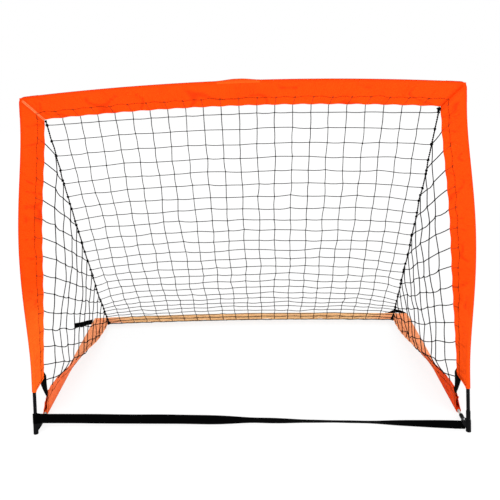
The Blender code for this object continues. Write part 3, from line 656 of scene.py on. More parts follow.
@dataclass(frozen=True)
class WovenNylon:
    """Plain-woven nylon taffeta, dyed fluorescent orange.

    New cloth is flat and even with a faint sheen. Where it lies toward the light it has bleached,
    to salmon and then to a sandy orange. The net's strands show through the margin they are sewn
    into.
    """

    title: str = "woven_nylon_taffeta"
    vivid: str = "#EE4000"
    worn: str = "#FF6118"
    faded: str = "#FF9060"
    bleached: str = "#FFC88C"
    deep: str = "#C6A8A0"  # multiplied in where the cloth is rubbed, and as painted shade in its creases, along its rods and by its seams
    # painted highlight, on the ridges of the left mitres' seams
    painted_highlight: str = "#FF9A62"
    thread_light: str = "#FF5A10"  # the crowns of the threads
    strand_shade: str = "#7A2A12"  # the net's strands, seen through the cloth
    thread: float = 0.0016  # real threads are 0.2 mm; drawn as coarse as they need to be to show
    crease: float = 0.030
    margin: float = 0.042  # where the net's margin starts, across the sleeve
    margin_edge: float = 0.0015
    knot_height: float = 0.0022
    strand_share: float = 0.022  # half a strand, as a share of the net's pitch

    def strands(self, paint: Paint, uv: Socket) -> Socket:
        """Where the net's strands and knots show through the cloth, from 0 to 1."""
        half = self.strand_share
        away = paint.math("PINGPONG", paint.attribute("pitch"), 0.5)
        across = paint.add("ShaderNodeSeparateXYZ", {0: uv}).outputs["Y"]
        strand = paint.mapped(away, half * 0.5, half * 1.6, 1.0, 0.0)
        inside = paint.mapped(across, self.margin, self.margin + self.margin_edge, 0.0, 1.0)
        knot = paint.mapped(away, half * 1.6, half * 3.0, 1.0, 0.0)
        row = paint.math("COMPARE", across, self.margin + 0.0005, self.knot_height)
        tied = paint.math("MULTIPLY", knot, row)
        return paint.math("MAXIMUM", paint.math("MULTIPLY", strand, inside), tied)

    def dye(self, paint: Paint, fade: Socket) -> Socket:
        """The dye's colour, from vivid to bleached."""
        ramp = paint.add("ShaderNodeValToRGB", {0: fade})
        stops = ramp.color_ramp.elements
        stops[0].color, stops[1].color = linear(self.vivid), linear(self.bleached)
        stops.new(0.16).color = linear(self.worn)
        stops.new(0.5).color = linear(self.faded)
        return ramp.outputs[0]

    def rubbing_and_shade(self, paint: Paint, fade: Socket, painted_shading: Socket, creases: Socket) -> Socket:
        """How much darker the cloth is where it is rubbed, and where painted shade lies in its
        creases, along its rods and by its seams; faded cloth shows it less.
        """
        blotch = paint.noise(paint.place, 11.0, 5.0, 0.6)
        rubbed = paint.mapped(blotch, 0.3, 0.75, 0.0, 0.30)
        # painted shade along the crease lines, in patches
        height = paint.math("ABSOLUTE", paint.math("SUBTRACT", creases, 0.5))
        line = paint.mapped(height, 0.0, 0.022, 1.0, 0.0)
        patches = paint.mapped(blotch, 0.48, 0.66, 0.0, 0.85)
        most = paint.math("MAXIMUM", rubbed, paint.math("MULTIPLY", line, patches))
        # plus the painted shade along rods, seams and creases that is stored on the mesh
        shade = paint.math("MAXIMUM", most, paint.mapped(painted_shading, 0.0, -1.0, 0.0, 1.0))
        return paint.math("MULTIPLY", shade, paint.mapped(fade, 0.1, 0.7, 1.0, 0.30))

    def make(self) -> bpy.types.Material:
        """The material. It reads the UV map in metres, and the attributes fade, pitch and tone, the
        last of which paints highlight and shade on the cloth.
        """
        paint = Paint(self.title, Roughness=0.7, Specular_IOR_Level=0.05)
        uv, fade, painted_shading = paint.uv(), paint.attribute("fade"), paint.attribute("painted_shading")
        warp, weft = paint.bands(uv, "X", self.thread), paint.bands(uv, "Y", self.thread)
        weave = paint.math("MULTIPLY", warp, weft)
        lying = paint.add("ShaderNodeMapping", {"Scale": (1.0, 0.45, 1.0), "Vector": uv}).outputs[0]
        creases = paint.noise(lying, 1 / self.crease, 3.0, 0.55, 0.8)
        shown = self.strands(paint, uv)
        rubbing_and_shade = self.rubbing_and_shade(paint, fade, painted_shading, creases)
        colour = paint.mix(rubbing_and_shade, self.dye(paint, fade), self.deep, "MULTIPLY")
        # painted highlight where the painted shading is above 0
        colour = paint.mix(paint.mapped(painted_shading, 0.0, 1.0, 0.0, 1.0), colour, self.painted_highlight)
        colour = paint.mix(paint.mapped(weave, 0.0, 1.0, 0.0, 0.08), colour, self.thread_light)
        colour = paint.mix(paint.math("MULTIPLY", shown, 0.62), colour, self.strand_shade)
        woven = paint.bump(weave, 0.35, 0.0004)
        creased = paint.bump(creases, 0.8, 0.009, woven)
        return paint.finish(colour, paint.bump(shown, 0.6, 0.0012, creased))


@dataclass(frozen=True)
class BraidedTwine:
    """Braided polyethylene twine, black with a greasy sheen on its fibres."""

    title: str = "braided_polyethylene_twine"
    dark: str = "#020203"
    light: str = "#0C0C0E"
    fibre: float = 0.0012
    roughness: float = 0.6

    def make(self) -> bpy.types.Material:
        """The material, on Object coordinates."""
        paint = Paint(self.title, Roughness=self.roughness, Specular_IOR_Level=0.02)
        fibres = paint.noise(paint.place, 1 / self.fibre, 2.0)
        colour = paint.mix(fibres, self.dark, self.light)
        return paint.finish(colour, paint.bump(fibres, 0.6, 0.0003))


@dataclass(frozen=True)
class RibbedWebbing:
    """Woven polypropylene webbing, dull black with ribs across it and paler, fluffed edges."""

    title: str = "polypropylene_webbing"
    dark: str = "#010101"
    light: str = "#0D0D0F"
    rib: float = 0.0030  # real ribs are 1.5 mm; drawn twice as coarse so that they show
    cord_share: float = 1.4  # lengthwise cords for each rib

    def make(self) -> bpy.types.Material:
        """The material. It reads the UV map in metres."""
        paint = Paint(self.title, Specular_IOR_Level=0.01)
        uv = paint.uv()
        ribs = paint.bands(uv, "X", self.rib, Distortion=0.6, Detail=1.0)
        cords = paint.bands(uv, "Y", self.rib / self.cord_share)
        twill = paint.math("MULTIPLY", ribs, cords)
        fluff = paint.noise(paint.place, 420.0, 3.0)
        colour = paint.mix(paint.math("MULTIPLY", twill, fluff), self.dark, self.light)
        rough = paint.mapped(fluff, 0.0, 1.0, 0.62, 0.85)
        paint.tree.links.new(rough, paint.shader.inputs["Roughness"])
        return paint.finish(colour, paint.bump(twill, 0.8, 0.0006))


@dataclass(frozen=True)
class GrainedFinish:
    """A rigid surface with a fine even grain: moulded nylon, drawn glass fibre or plated steel."""

    title: str
    dark: str
    light: str
    grain: float  # size of the grain, in metres
    smooth: float  # least roughness
    rough: float  # most roughness
    metallic: float = 0.0
    shine: float = 0.5
    relief: float = 0.0001
    stretch: tuple[float, float, float] = (1.0, 1.0, 1.0)

    def make(self) -> bpy.types.Material:
        """The material, on Object coordinates."""
        paint = Paint(self.title, Metallic=self.metallic, Specular_IOR_Level=self.shine)
        drawn = paint.add("ShaderNodeMapping", {"Scale": self.stretch, "Vector": paint.place})
        grain = paint.noise(drawn.outputs[0], 1 / self.grain, 4.0, 0.6)
        scuffs = paint.noise(paint.place, 60.0, 6.0, 0.7)
        worn = paint.mapped(paint.math("MULTIPLY", grain, scuffs), 0.12, 0.42, 0.0, 1.0)
        rough = paint.mapped(scuffs, 0.0, 1.0, self.smooth, self.rough)
        paint.tree.links.new(rough, paint.shader.inputs["Roughness"])
        colour = paint.mix(worn, self.dark, self.light)
        return paint.finish(colour, paint.bump(grain, 0.5, self.relief))


THREAD = BraidedTwine("bonded_nylon_thread", "#4A1406", "#74280C", 0.0008, 0.5)
MOULDED_NYLON = GrainedFinish(
    "moulded_nylon", "#030304", "#101012", 0.0009, 0.38, 0.58, shine=0.05, relief=0.00015
)
GLASS_FIBRE = GrainedFinish(
    "pultruded_glass_fibre", "#A9AAA6", "#D5D5D0", 0.0016, 0.28, 0.45, stretch=(1.0, 0.12, 1.0)
)
PLATED_STEEL = GrainedFinish(
    "zinc_plated_steel", "#9C9FA3", "#D8DADC", 0.0011, 0.26, 0.48, metallic=1.0
)


@dataclass
class Finishes:
    """The goal's materials and the trees that grow its thread, twine and rope, each made once."""

    cloth: bpy.types.Material = field(default_factory=WovenNylon().make)
    twine: bpy.types.Material = field(default_factory=BraidedTwine().make)
    thread: bpy.types.Material = field(default_factory=THREAD.make)
    webbing: bpy.types.Material = field(default_factory=RibbedWebbing().make)
    plastic: bpy.types.Material = field(default_factory=MOULDED_NYLON.make)
    glass_fibre: bpy.types.Material = field(default_factory=GLASS_FIBRE.make)
    steel: bpy.types.Material = field(default_factory=PLATED_STEEL.make)
    knotted: Growth = field(default_factory=twine_growth)
    laid: Growth = field(default_factory=rope_growth)
    sewn: Growth = field(default_factory=stitch_growth)

    def tied(
        self, name: str, mesh: bpy.types.Mesh, twine: float, knot: float = 0.0018
    ) -> bpy.types.Object:
        """Grows knotted twine on a mesh of chains, with the radii of the twine and its knots."""
        return self.knotted.grow(name, mesh, self.twine, Twine_Radius=twine, Knot_Radius=knot)

    def netting(
        self, name: str, columns: Sequence[Line], rows: Sequence[Line], twine: float, knot: float
    ) -> bpy.types.Object:
        """Grows a net, with a knot on its columns at each crossing.

        Args:
            name: The object's name.
            columns: The strands that carry the knots, with a crossing at every third point.
            rows: The strands across them.
            twine: The twine's radius.
            knot: A knot's radius.

        Returns:
            The finished object.
        """
        knots = [[i % 3 == 0 and 0 < i < len(run) - 1 for i in range(len(run))] for run in columns]
        knots.extend([False] * len(run) for run in rows)
        return self.tied(name, lines_mesh(name, [*columns, *rows], knots), twine, knot)

    def box_stitches(self, name: str, lines: Sequence[Line]) -> bpy.types.Object:
        """Grows the small stitches that hold webbing along lines."""
        sizes = {"Pitch": 0.0026, "Stitch_Length": 0.0020, "Thread_Radius": 0.00035}
        return self.sewn.grow(name, lines_mesh(name, lines), self.twine, **sizes)


def hang(
    piece: bpy.types.Object, body: str, stands_for: Sequence[str] = ()
) -> bpy.types.Object:
    """Gives a piece its body and the CAD nodes that it stands for."""
    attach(piece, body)
    if stands_for:
        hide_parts(*stands_for)
    LOG.info("%s rides %s", piece.name, body)
    return piece


# Studio

@dataclass(frozen=True)
class Lamp:
    """A large soft lamp, aimed at the middle of the goal."""

    name: str
    place: tuple[float, float, float]
    size: float
    power: float

    def build(self) -> None:
        """Adds the lamp."""
        data = bpy.data.lights.new(self.name, "AREA")
        data.shape = "DISK"
        data.size = self.size
        data.energy = self.power
        lamp = bpy.data.objects.new(self.name, data)
        away = Vector(self.place) - Vector((0.0, 0.0, 0.4))
        turn = away.to_track_quat("Z", "Y").to_matrix().to_4x4()
        lamp.matrix_world = Matrix.Translation(self.place) @ turn
        bpy.context.scene.collection.objects.link(lamp)


@dataclass(frozen=True)
class Studio:
    """A white floor, a white world, soft lamps, and the photograph's camera."""

    camera_place: tuple[float, float, float] = (0.0381, -2.1461, 1.0854)
    yaw: float = 0.0625
    pitch: float = 0.207
    roll: float = 0.0405
    focal_pixels: float = 693.0
    centre_pixels: tuple[float, float] = (212.5, 180.0)
    image: float = 500.0
    sensor: float = 36.0
    ambient: float = 0.50
    floor_half: float = 6.0
    floor_glow: float = 1.05
    floor_share: float = 0.80  # near the goal this part of the floor glows; the rest takes shadow
    lamps: tuple[Lamp, ...] = (
        Lamp("key", (-1.4, -3.0, 2.3), 2.0, 84.0),
        Lamp("fill", (2.2, -2.4, 1.3), 2.2, 64.0),
        Lamp("back", (0.4, 2.6, 2.8), 2.4, 34.0),
    )

    def add_camera(self) -> None:
        """The camera, at the place and angle worked out from the photograph."""
        cos_y, sin_y = math.cos(self.yaw), math.sin(self.yaw)
        level_right, level_ahead = Vector((cos_y, sin_y, 0.0)), Vector((-sin_y, cos_y, 0.0))
        up = Vector((0.0, 0.0, 1.0))
        ahead = level_ahead * math.cos(self.pitch) - up * math.sin(self.pitch)
        upright = level_ahead * math.sin(self.pitch) + up * math.cos(self.pitch)
        right = level_right * math.cos(self.roll) - upright * math.sin(self.roll)
        top = level_right * math.sin(self.roll) + upright * math.cos(self.roll)
        data = bpy.data.cameras.new("photograph")
        data.sensor_width = self.sensor
        data.lens = self.focal_pixels * self.sensor / self.image
        data.shift_x = (self.image / 2 - self.centre_pixels[0]) / self.image
        data.shift_y = (self.centre_pixels[1] - self.image / 2) / self.image
        camera = bpy.data.objects.new("photograph", data)
        turn = Matrix((right, top, -ahead)).transposed().to_4x4()
        camera.matrix_world = Matrix.Translation(self.camera_place) @ turn
        bpy.context.scene.collection.objects.link(camera)
        bpy.context.scene.camera = camera

    def add_world(self) -> None:
        """A white world for what the camera and mirrors see, and a soft even light from it."""
        world = bpy.data.worlds.new("studio")
        bpy.context.scene.world = world
        world.use_nodes = True
        world.node_tree.nodes.clear()
        nodes = Nodes(world.node_tree)
        through = nodes.add("ShaderNodeLightPath").outputs["Is Transmission Ray"]
        white = nodes.math("MAXIMUM", nodes.seen_directly(), through)
        strength = nodes.mapped(white, 0.0, 1.0, self.ambient, 1.0)
        light = {"Color": (1.0, 1.0, 1.0, 1.0), "Strength": strength}
        sky = nodes.add("ShaderNodeBackground", light)
        nodes.add("ShaderNodeOutputWorld", {"Surface": sky.outputs[0]})

    def add_floor(self) -> None:
        """A matt white floor that reads as white and keeps a soft part of the goal's shadow."""
        half = self.floor_half
        mesh = bpy.data.meshes.new("floor")
        corners = [(-half, -half, 0.0), (half, -half, 0.0), (half, half, 0.0), (-half, half, 0.0)]
        mesh.from_pydata(corners, [], [(0, 1, 2, 3)])
        floor = bpy.data.objects.new("floor", mesh)
        bpy.context.scene.collection.objects.link(floor)
        made = bpy.data.materials.new("matt_white_paint")
        made.use_nodes = True
        made.node_tree.nodes.clear()
        nodes = Nodes(made.node_tree)
        place = nodes.add("ShaderNodeTexCoord").outputs["Object"]
        away = nodes.add("ShaderNodeVectorMath", {0: place}, operation="LENGTH").outputs["Value"]
        plain = nodes.mapped(away, 1.4, 3.2, self.floor_share, 1.0)
        share = nodes.math("MULTIPLY", nodes.seen_directly(), plain)
        paint = nodes.add("ShaderNodeBsdfDiffuse", {"Color": linear("#F4F4F4")}).outputs[0]
        light = {"Color": (1.0, 1.0, 1.0, 1.0), "Strength": self.floor_glow}
        glow = nodes.add("ShaderNodeEmission", light).outputs[0]
        mix = nodes.add("ShaderNodeMixShader", {0: share, 1: paint, 2: glow}).outputs[0]
        nodes.add("ShaderNodeOutputMaterial", {"Surface": mix})
        mesh.materials.append(made)

    def build(self) -> None:
        """Sets up the whole studio."""
        bpy.context.scene.view_settings.view_transform = "Standard"
        self.add_camera()
        self.add_world()
        self.add_floor()
        for lamp in self.lamps:
            lamp.build()


# Cloth sleeves

@dataclass
class ClothSleeve:
    """One flat cloth sleeve: a channel round its rod, and a wide flap of two layers with a hem."""

    flat: FlatFrame
    side: Side
    rail: Rail
    radius: float = 0.0065
    turns: int = 14  # points round the channel
    width: float = SLEEVE_WIDTH
    hem: float = 0.0012
    thinning: float = 0.85  # 1 would thin the flap evenly from the rod to its hem
    stitch_line: float = 0.042
    stitch_lift: float = 0.0004  # a stitch's axis stands this far off the cloth
    stitch_length: float = 0.0059
    stitch_pull: float = 0.0012  # each strand of the net pulls the row of stitches this far
    stitch_wander: float = 0.0042
    foot: float = 0.095
    foot_slant: float = 0.030
    base_front: float = 0.075
    base_flare: float = 0.17  # the link tab pulls the front of the base's cloth this much wider
    flare_stop: float = 0.34
    post_twist: float = -55.0
    post_taper: float = 0.55
    post_twist_end: float = 0.62
    base_twist: float = 80.0
    base_twist_end: float = 0.9
    elbow: float = 0.046  # a hinge cover reaches this far from a corner
    centre: float = 0.056  # and this far from the centre
    scallop: float = 0.0009
    creasing: float = 0.0030
    crease_width: float = 0.10  # in the unit of crease_line
    long_wave: tuple[float, float] = (0.085, 0.0030)  # length and height of the cloth's long waves
    short_wave: tuple[float, float] = (0.024, 0.0010)
    pucker: float = 0.00035
    seam_ridge: float = 0.0024
    seam_place: float = 0.0025  # from the mitre to the ridge of its seam
    underside: float = 0.0004  # the base's lower layer stays this far off the ground
    layer_gap: float = 0.0014  # and its upper layer this much higher
    post_fade: tuple[float, float] = (0.16, 0.05)  # at the foot of the left and of the right post
    base_fade: tuple[float, float] = (0.30, 0.02)  # at the front of the left and the right base; the left's is raised as painted light on its shaded cloth
    base_faded: float = 0.62  # at the rear of both
    rear_dye: float = 0.35  # how much less the rear cloth has faded at its corners
    step: float = 0.006
    wraps: tuple[float, ...] = (122.0, 106.0, 90.0)
    reaches: tuple[float, ...] = (
        0.005, 0.011, 0.018, 0.025, 0.031, 0.036, 0.040, 0.042, 0.044, 0.048, 0.053, 0.057, 0.060,
        0.0614,
    )
    seam_rings: tuple[float, ...] = (0.0012, 0.0025, 0.0038, 0.0052, 0.0085, 0.0120)

    @property
    def title(self) -> str:
        """The rod's word in node and body names."""
        return self.flat.upright if self.rail is Rail.UPRIGHT else self.flat.bar

    @property
    def body(self) -> str:
        """The body that carries the rod."""
        return f"{self.title}_{self.side.word}"

    def ends(self, inward: float, out: float) -> tuple[float, float]:
        """Where a line along the sleeve starts and ends, along the side rod or across the bar.

        Args:
            inward: The line's distance inward from the rod's axis.
            out: Its distance out of the frame.

        Returns:
            Its start, at the foot or the goal's centre, and its end at the corner's mitre.
        """
        across, along = self.flat.mitre(inward, out)
        if self.rail is Rail.BAR:
            return 0.0, across
        if self.flat is BASE:
            return self.base_front, along
        return self.foot + self.foot_slant * max(inward, 0.0) / self.width, along

    def length(self) -> float:
        """The sleeve's length along its rod."""
        start, end = self.ends(0.0, 0.0)
        return end - start

    def twist(self, along: float) -> float:
        """How far the section is turned about the rod at this place, in degrees."""
        if self.rail is Rail.BAR:
            return self.flat.droop
        if self.flat is FRONT:
            stop = self.post_twist_end * self.flat.length
            return self.post_twist * (1 - smoothstep(self.foot, stop, along))
        stop = self.base_twist_end * self.flat.length
        share = 1 - smoothstep(self.base_front, stop, along)
        return self.flat.droop + (self.base_twist - self.flat.droop) * share

    def narrowed(self, along: float, inward: float) -> float:
        """A place across the sleeve, wider at the base's front and narrower at the post's foot."""
        if self.rail is Rail.BAR:
            return inward
        if self.flat is BASE:
            flare = self.base_flare * (1 - smoothstep(self.base_front, self.flare_stop, along))
            return inward * (1 + flare * (inward > 0))
        share = smoothstep(self.foot, self.post_twist_end * self.flat.length, along)
        cloth = min(inward, self.width)
        return inward - max(cloth, 0.0) * (1 - self.post_taper) * (1 - share)

    def beside_rod(self, distance: float, inward: float, out: float) -> Vector:
        """A point beside the rod's axis.

        Args:
            distance: How far along the side rod, or across the bar.
            inward: How far inward from the axis.
            out: How far out of the frame.

        Returns:
            The point in the world.
        """
        if self.rail is Rail.BAR:
            across, along = distance, self.flat.bar_along(distance) - inward
        else:
            across, along = self.flat.side_across(distance) - inward, distance
        return self.flat.point(self.side.value * across, along, out)

    def place(self, share: float, inward: float, out: float) -> Vector:
        """A point of the sleeve in the world, share of the way from its start to its mitre."""
        start, end = self.ends(inward, out)
        distance = start + (end - start) * share
        inward, out = turned(self.narrowed(distance, inward), out, self.twist(distance))
        return self.beside_rod(distance, inward, out)

    def half_thickness(self, inward: float) -> float:
        """Half the sleeve's thickness at a place across it."""
        share = min(max(inward / self.width, 0.0), 1.0)
        return self.radius + FIT + (self.hem - self.radius - FIT) * share ** self.thinning

    def crease_line(self, point: Vector) -> float:
        """How far a point is from a crease, in no unit: 0 on its crest, below 0 on one side."""
        spread = Vector((point.x / 0.10, point.y / 0.10, point.z / 0.045))
        return noise.noise(spread + Vector((2.0, 9.0, 5.0)))

    def relief(self, share: float, inward: float, layer: int) -> float:
        """How far the cloth stands out of its even shape here.

        Args:
            share: The place along the sleeve.
            inward: The place across it.
            layer: 1 for the front layer, -1 for the back one.

        Returns:
            The height, out of the frame.
        """
        point = self.place(share, inward, 0.0)
        slack = smoothstep(0.0, 0.030, inward) * (1 - 0.55 * smoothstep(0.040, self.width, inward))
        long = noise.noise(point / self.long_wave[0]) * self.long_wave[1]
        aside = Vector((7.0, 3.0, layer))
        short = noise.noise(point / self.short_wave[0] + aside) * self.short_wave[1]
        crest = 1.0 - abs(self.crease_line(point)) / self.crease_width
        short += self.creasing * max(0.0, crest)
        pucker = self.pucker * math.cos(math.tau * self.pitch(share) * 4)
        pucker *= ridge(inward, self.stitch_line, 0.006)
        seam = (1 - share) * self.length()
        raised = self.seam_ridge * ridge(seam, self.seam_place, 0.0018)
        raised *= smoothstep(0.0, 0.004, inward)
        calm = smoothstep(0.0, 0.010, seam)
        return (long + short) * slack * (0.25 + 0.75 * calm) + layer * (pucker + raised)

    def surface(self, share: float, inward: float, layer: int, lift: float = 0.0) -> Vector:
        """A point on one layer of the flap."""
        edge = smoothstep(0.050, self.width, inward)
        reach = inward + edge * self.scallop * math.cos(math.tau * self.pitch(share))
        out = layer * (self.half_thickness(inward) + lift) + self.relief(share, inward, layer)
        point = self.place(share, reach, out)
        if self.flat is BASE:
            point.z = max(point.z, self.underside + self.layer_gap * (1 + layer) / 2 + lift)
        return point

    def pitch(self, share: float) -> float:
        """The place along the sleeve, counted in strands of the net that is sewn to it."""
        if self.rail is Rail.BAR:
            return share * NET_COLUMNS
        return (1 - share) * 0.9 * SIDE_ROWS - 0.25 if self.flat is FRONT else share * SIDE_COLUMNS

    def fade(self, share: float) -> float:
        """How far the sun has bleached the cloth here, from 0 to 1; at the front of the left base
        it is raised as painted light.
        """
        if self.rail is Rail.BAR:
            rear = 1.0 - self.rear_dye * smoothstep(0.75, 1.0, share)
            return rear if self.flat is BASE else 0.0
        left = self.side is Side.LEFT
        if self.flat is FRONT:
            return self.post_fade[0 if left else 1] * (1 - smoothstep(0.12, 0.42, share))
        # at the left base's front this is partly painted light
        lowest = self.base_fade[0 if left else 1]
        return lowest + (self.base_faded - lowest) * smoothstep(0.15, 0.60, share)

    def painted_shading(self, share: float, inward: float) -> float:
        """How much painted highlight (above 0) or painted shade (below) the cloth gets here.

        Args:
            share: The place along the sleeve.
            inward: The place across it.

        Returns:
            The painted shading: a painted highlight on the ridge of the left mitres' seams, and
            painted shade on the right ones', beside them, along the rod and beside the creases.
        """
        seam = (1 - share) * self.length()
        raised = ridge(seam, self.seam_place, 0.0020) * smoothstep(0.0, 0.004, inward)
        # painted shadow beside each mitre's seam ridge, and painted shade along the rod
        beside = 0.40 * ridge(seam, 0.0085, 0.0045)
        rim = 0.30 * (1 - smoothstep(-0.002, 0.010, inward))
        # a painted highlight on the left seam ridges, painted shade on the right ones
        worn = 0.75 if self.side is Side.LEFT else -0.45
        line = self.crease_line(self.place(share, inward, 0.0))
        # painted shade beside each crease
        under = 0.75 * ridge(line, self.crease_width, 0.055) * smoothstep(0.004, 0.020, inward)
        return max(-1.0, raised * worn - beside - rim - under)

    def shares(self) -> list[float]:
        """Where the rings are, closer together at the mitre."""
        length = self.length()
        count = int(length / self.step)
        even = [i / count for i in range(count + 1)]
        near = [1 - distance / length for distance in self.seam_rings]
        return sorted({round(share, 6) for share in (*even, *near)})

    def flap_ring(self, share: float) -> tuple[list[Vector], list[float]]:
        """The flap's section here, from the front layer round the hem to the back layer.

        Args:
            share: The place along the sleeve.

        Returns:
            The points, and the UV map's v of each.
        """
        radius, layers = self.radius + FIT, []
        for layer in (1, -1):
            ring = []
            for wrap in self.wraps:
                angle = math.radians(wrap)
                out = layer * radius * math.sin(angle)
                ring.append(self.place(share, radius * math.cos(angle), out))
            ring.extend(self.surface(share, reach, layer) for reach in self.reaches)
            layers.append(ring)
        scallop = self.scallop * math.cos(math.tau * self.pitch(share))
        edge = self.place(share, self.width + scallop, 0.0)
        across = [math.radians(wrap - 90.0) * -self.radius for wrap in self.wraps]
        across.extend(self.reaches)
        return [*layers[0], edge, *reversed(layers[1])], [*across, self.width, *reversed(across)]

    def make_flap(self, finishes: Finishes) -> bpy.types.Object:
        """The flap of cloth between the rod and the net."""
        shares, length = self.shares(), self.length()
        rings, across = [], []
        for share in shares:
            ring, across = self.flap_ring(share)
            rings.append(ring)
        skin = Skin()
        skin.add_rings(rings, [share * length for share in shares], across)
        skin.marks["fade"] = [self.fade(share) for share in shares for _ in across]
        skin.marks["pitch"] = [self.pitch(share) for share in shares for _ in across]
        skin.marks["painted_shading"] = [self.painted_shading(share, inward) for share in shares for inward in across]
        return skin.make(f"{self.title}_cloth_{self.side.word}", finishes.cloth, CLOTH_WALL)

    def make_channel(self, finishes: Finishes) -> bpy.types.Object:
        """The channel of cloth round the rod, between the covers of its hinges."""
        low, high = self.ends(0.0, 0.0)
        start, end = self.centre if self.rail is Rail.BAR else low, high - self.elbow
        count = int((end - start) / self.step)
        along = [start + (end - start) * i / count for i in range(count + 1)]
        angles = [math.tau * j / self.turns for j in range(self.turns)]
        rings = []
        for distance in along:
            ring = []
            for angle in angles:
                inward, out = self.radius * math.cos(angle), self.radius * math.sin(angle)
                ring.append(self.beside_rod(distance, inward, out))
            rings.append(ring)
        fades = [self.fade((distance - low) / (high - low)) for distance in along]
        skin = Skin()
        skin.add_channel(rings, along, self.radius, fades)
        return skin.make(f"{self.title}_channel_{self.side.word}", finishes.cloth, CLOTH_WALL)

    def make_stitches(self, finishes: Finishes) -> bpy.types.Object:
        """The rows of stitches that hold the net's margin and close the sleeve's foot."""
        lines, length, lift = [], self.length(), self.stitch_lift
        margin = 0.004 / length
        count = int(length / 0.005)
        for layer in (1, -1):
            line = []
            for i in range(count + 1):
                share = margin + (1 - 2 * margin) * i / count
                pitch = self.pitch(share)
                wander = self.stitch_pull * math.cos(math.tau * pitch)
                spot = Vector((pitch * 0.9, self.side.value, 3.0))
                wander += self.stitch_wander * noise.noise(spot)
                line.append(self.surface(share, self.stitch_line + wander, layer, lift))
            lines.append(line)
            if self.rail is Rail.UPRIGHT:
                reaches = [0.004 + 0.056 * i / 12 for i in range(13)]
                lines.append([self.surface(2 * margin, reach, layer, lift) for reach in reaches])
        name = f"{self.title}_stitches_{self.side.word}"
        mesh, thread = lines_mesh(name, lines), finishes.thread
        return finishes.sewn.grow(name, mesh, thread, seed=11, Stitch_Length=self.stitch_length)

    def crumple(self) -> tuple[Vector, Vector, float]:
        """The axis, the anchor and the share to keep, for flattening the flap as the goal folds."""
        side = self.side.value
        if self.rail is Rail.BAR:
            middle = self.flat.bar_along(HALF_WIDTH / 2)
            return self.flat.way(0, 1, 0), self.flat.point(0, middle), 0.12
        if self.flat is FRONT:
            lean = math.radians(18.0)
            axis = self.flat.way(-side * math.cos(lean), 0, -math.sin(lean))
            return axis, self.flat.point(side * (HALF_WIDTH + POST_BOW / 2), 0.4), 0.15
        lean = math.radians(25.0)
        axis = Vector((side * math.sin(lean), 0, math.cos(lean)))
        return axis, self.flat.point(side * HALF_WIDTH, 0), 0.1

    def build(self, finishes: Finishes) -> None:
        """Makes the sleeve's pieces and hangs them on their rod's body."""
        axis, anchor, keep = self.crumple()
        flap = self.make_flap(finishes)
        stitches = self.make_stitches(finishes)
        channel = self.make_channel(finishes)
        hang(channel, self.body)
        hang(flap, self.body, [f"{self.title}_sleeve_{self.side.word}"])
        hang(stitches, self.body)
        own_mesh(flap)
        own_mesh(stitches)
        self.length()


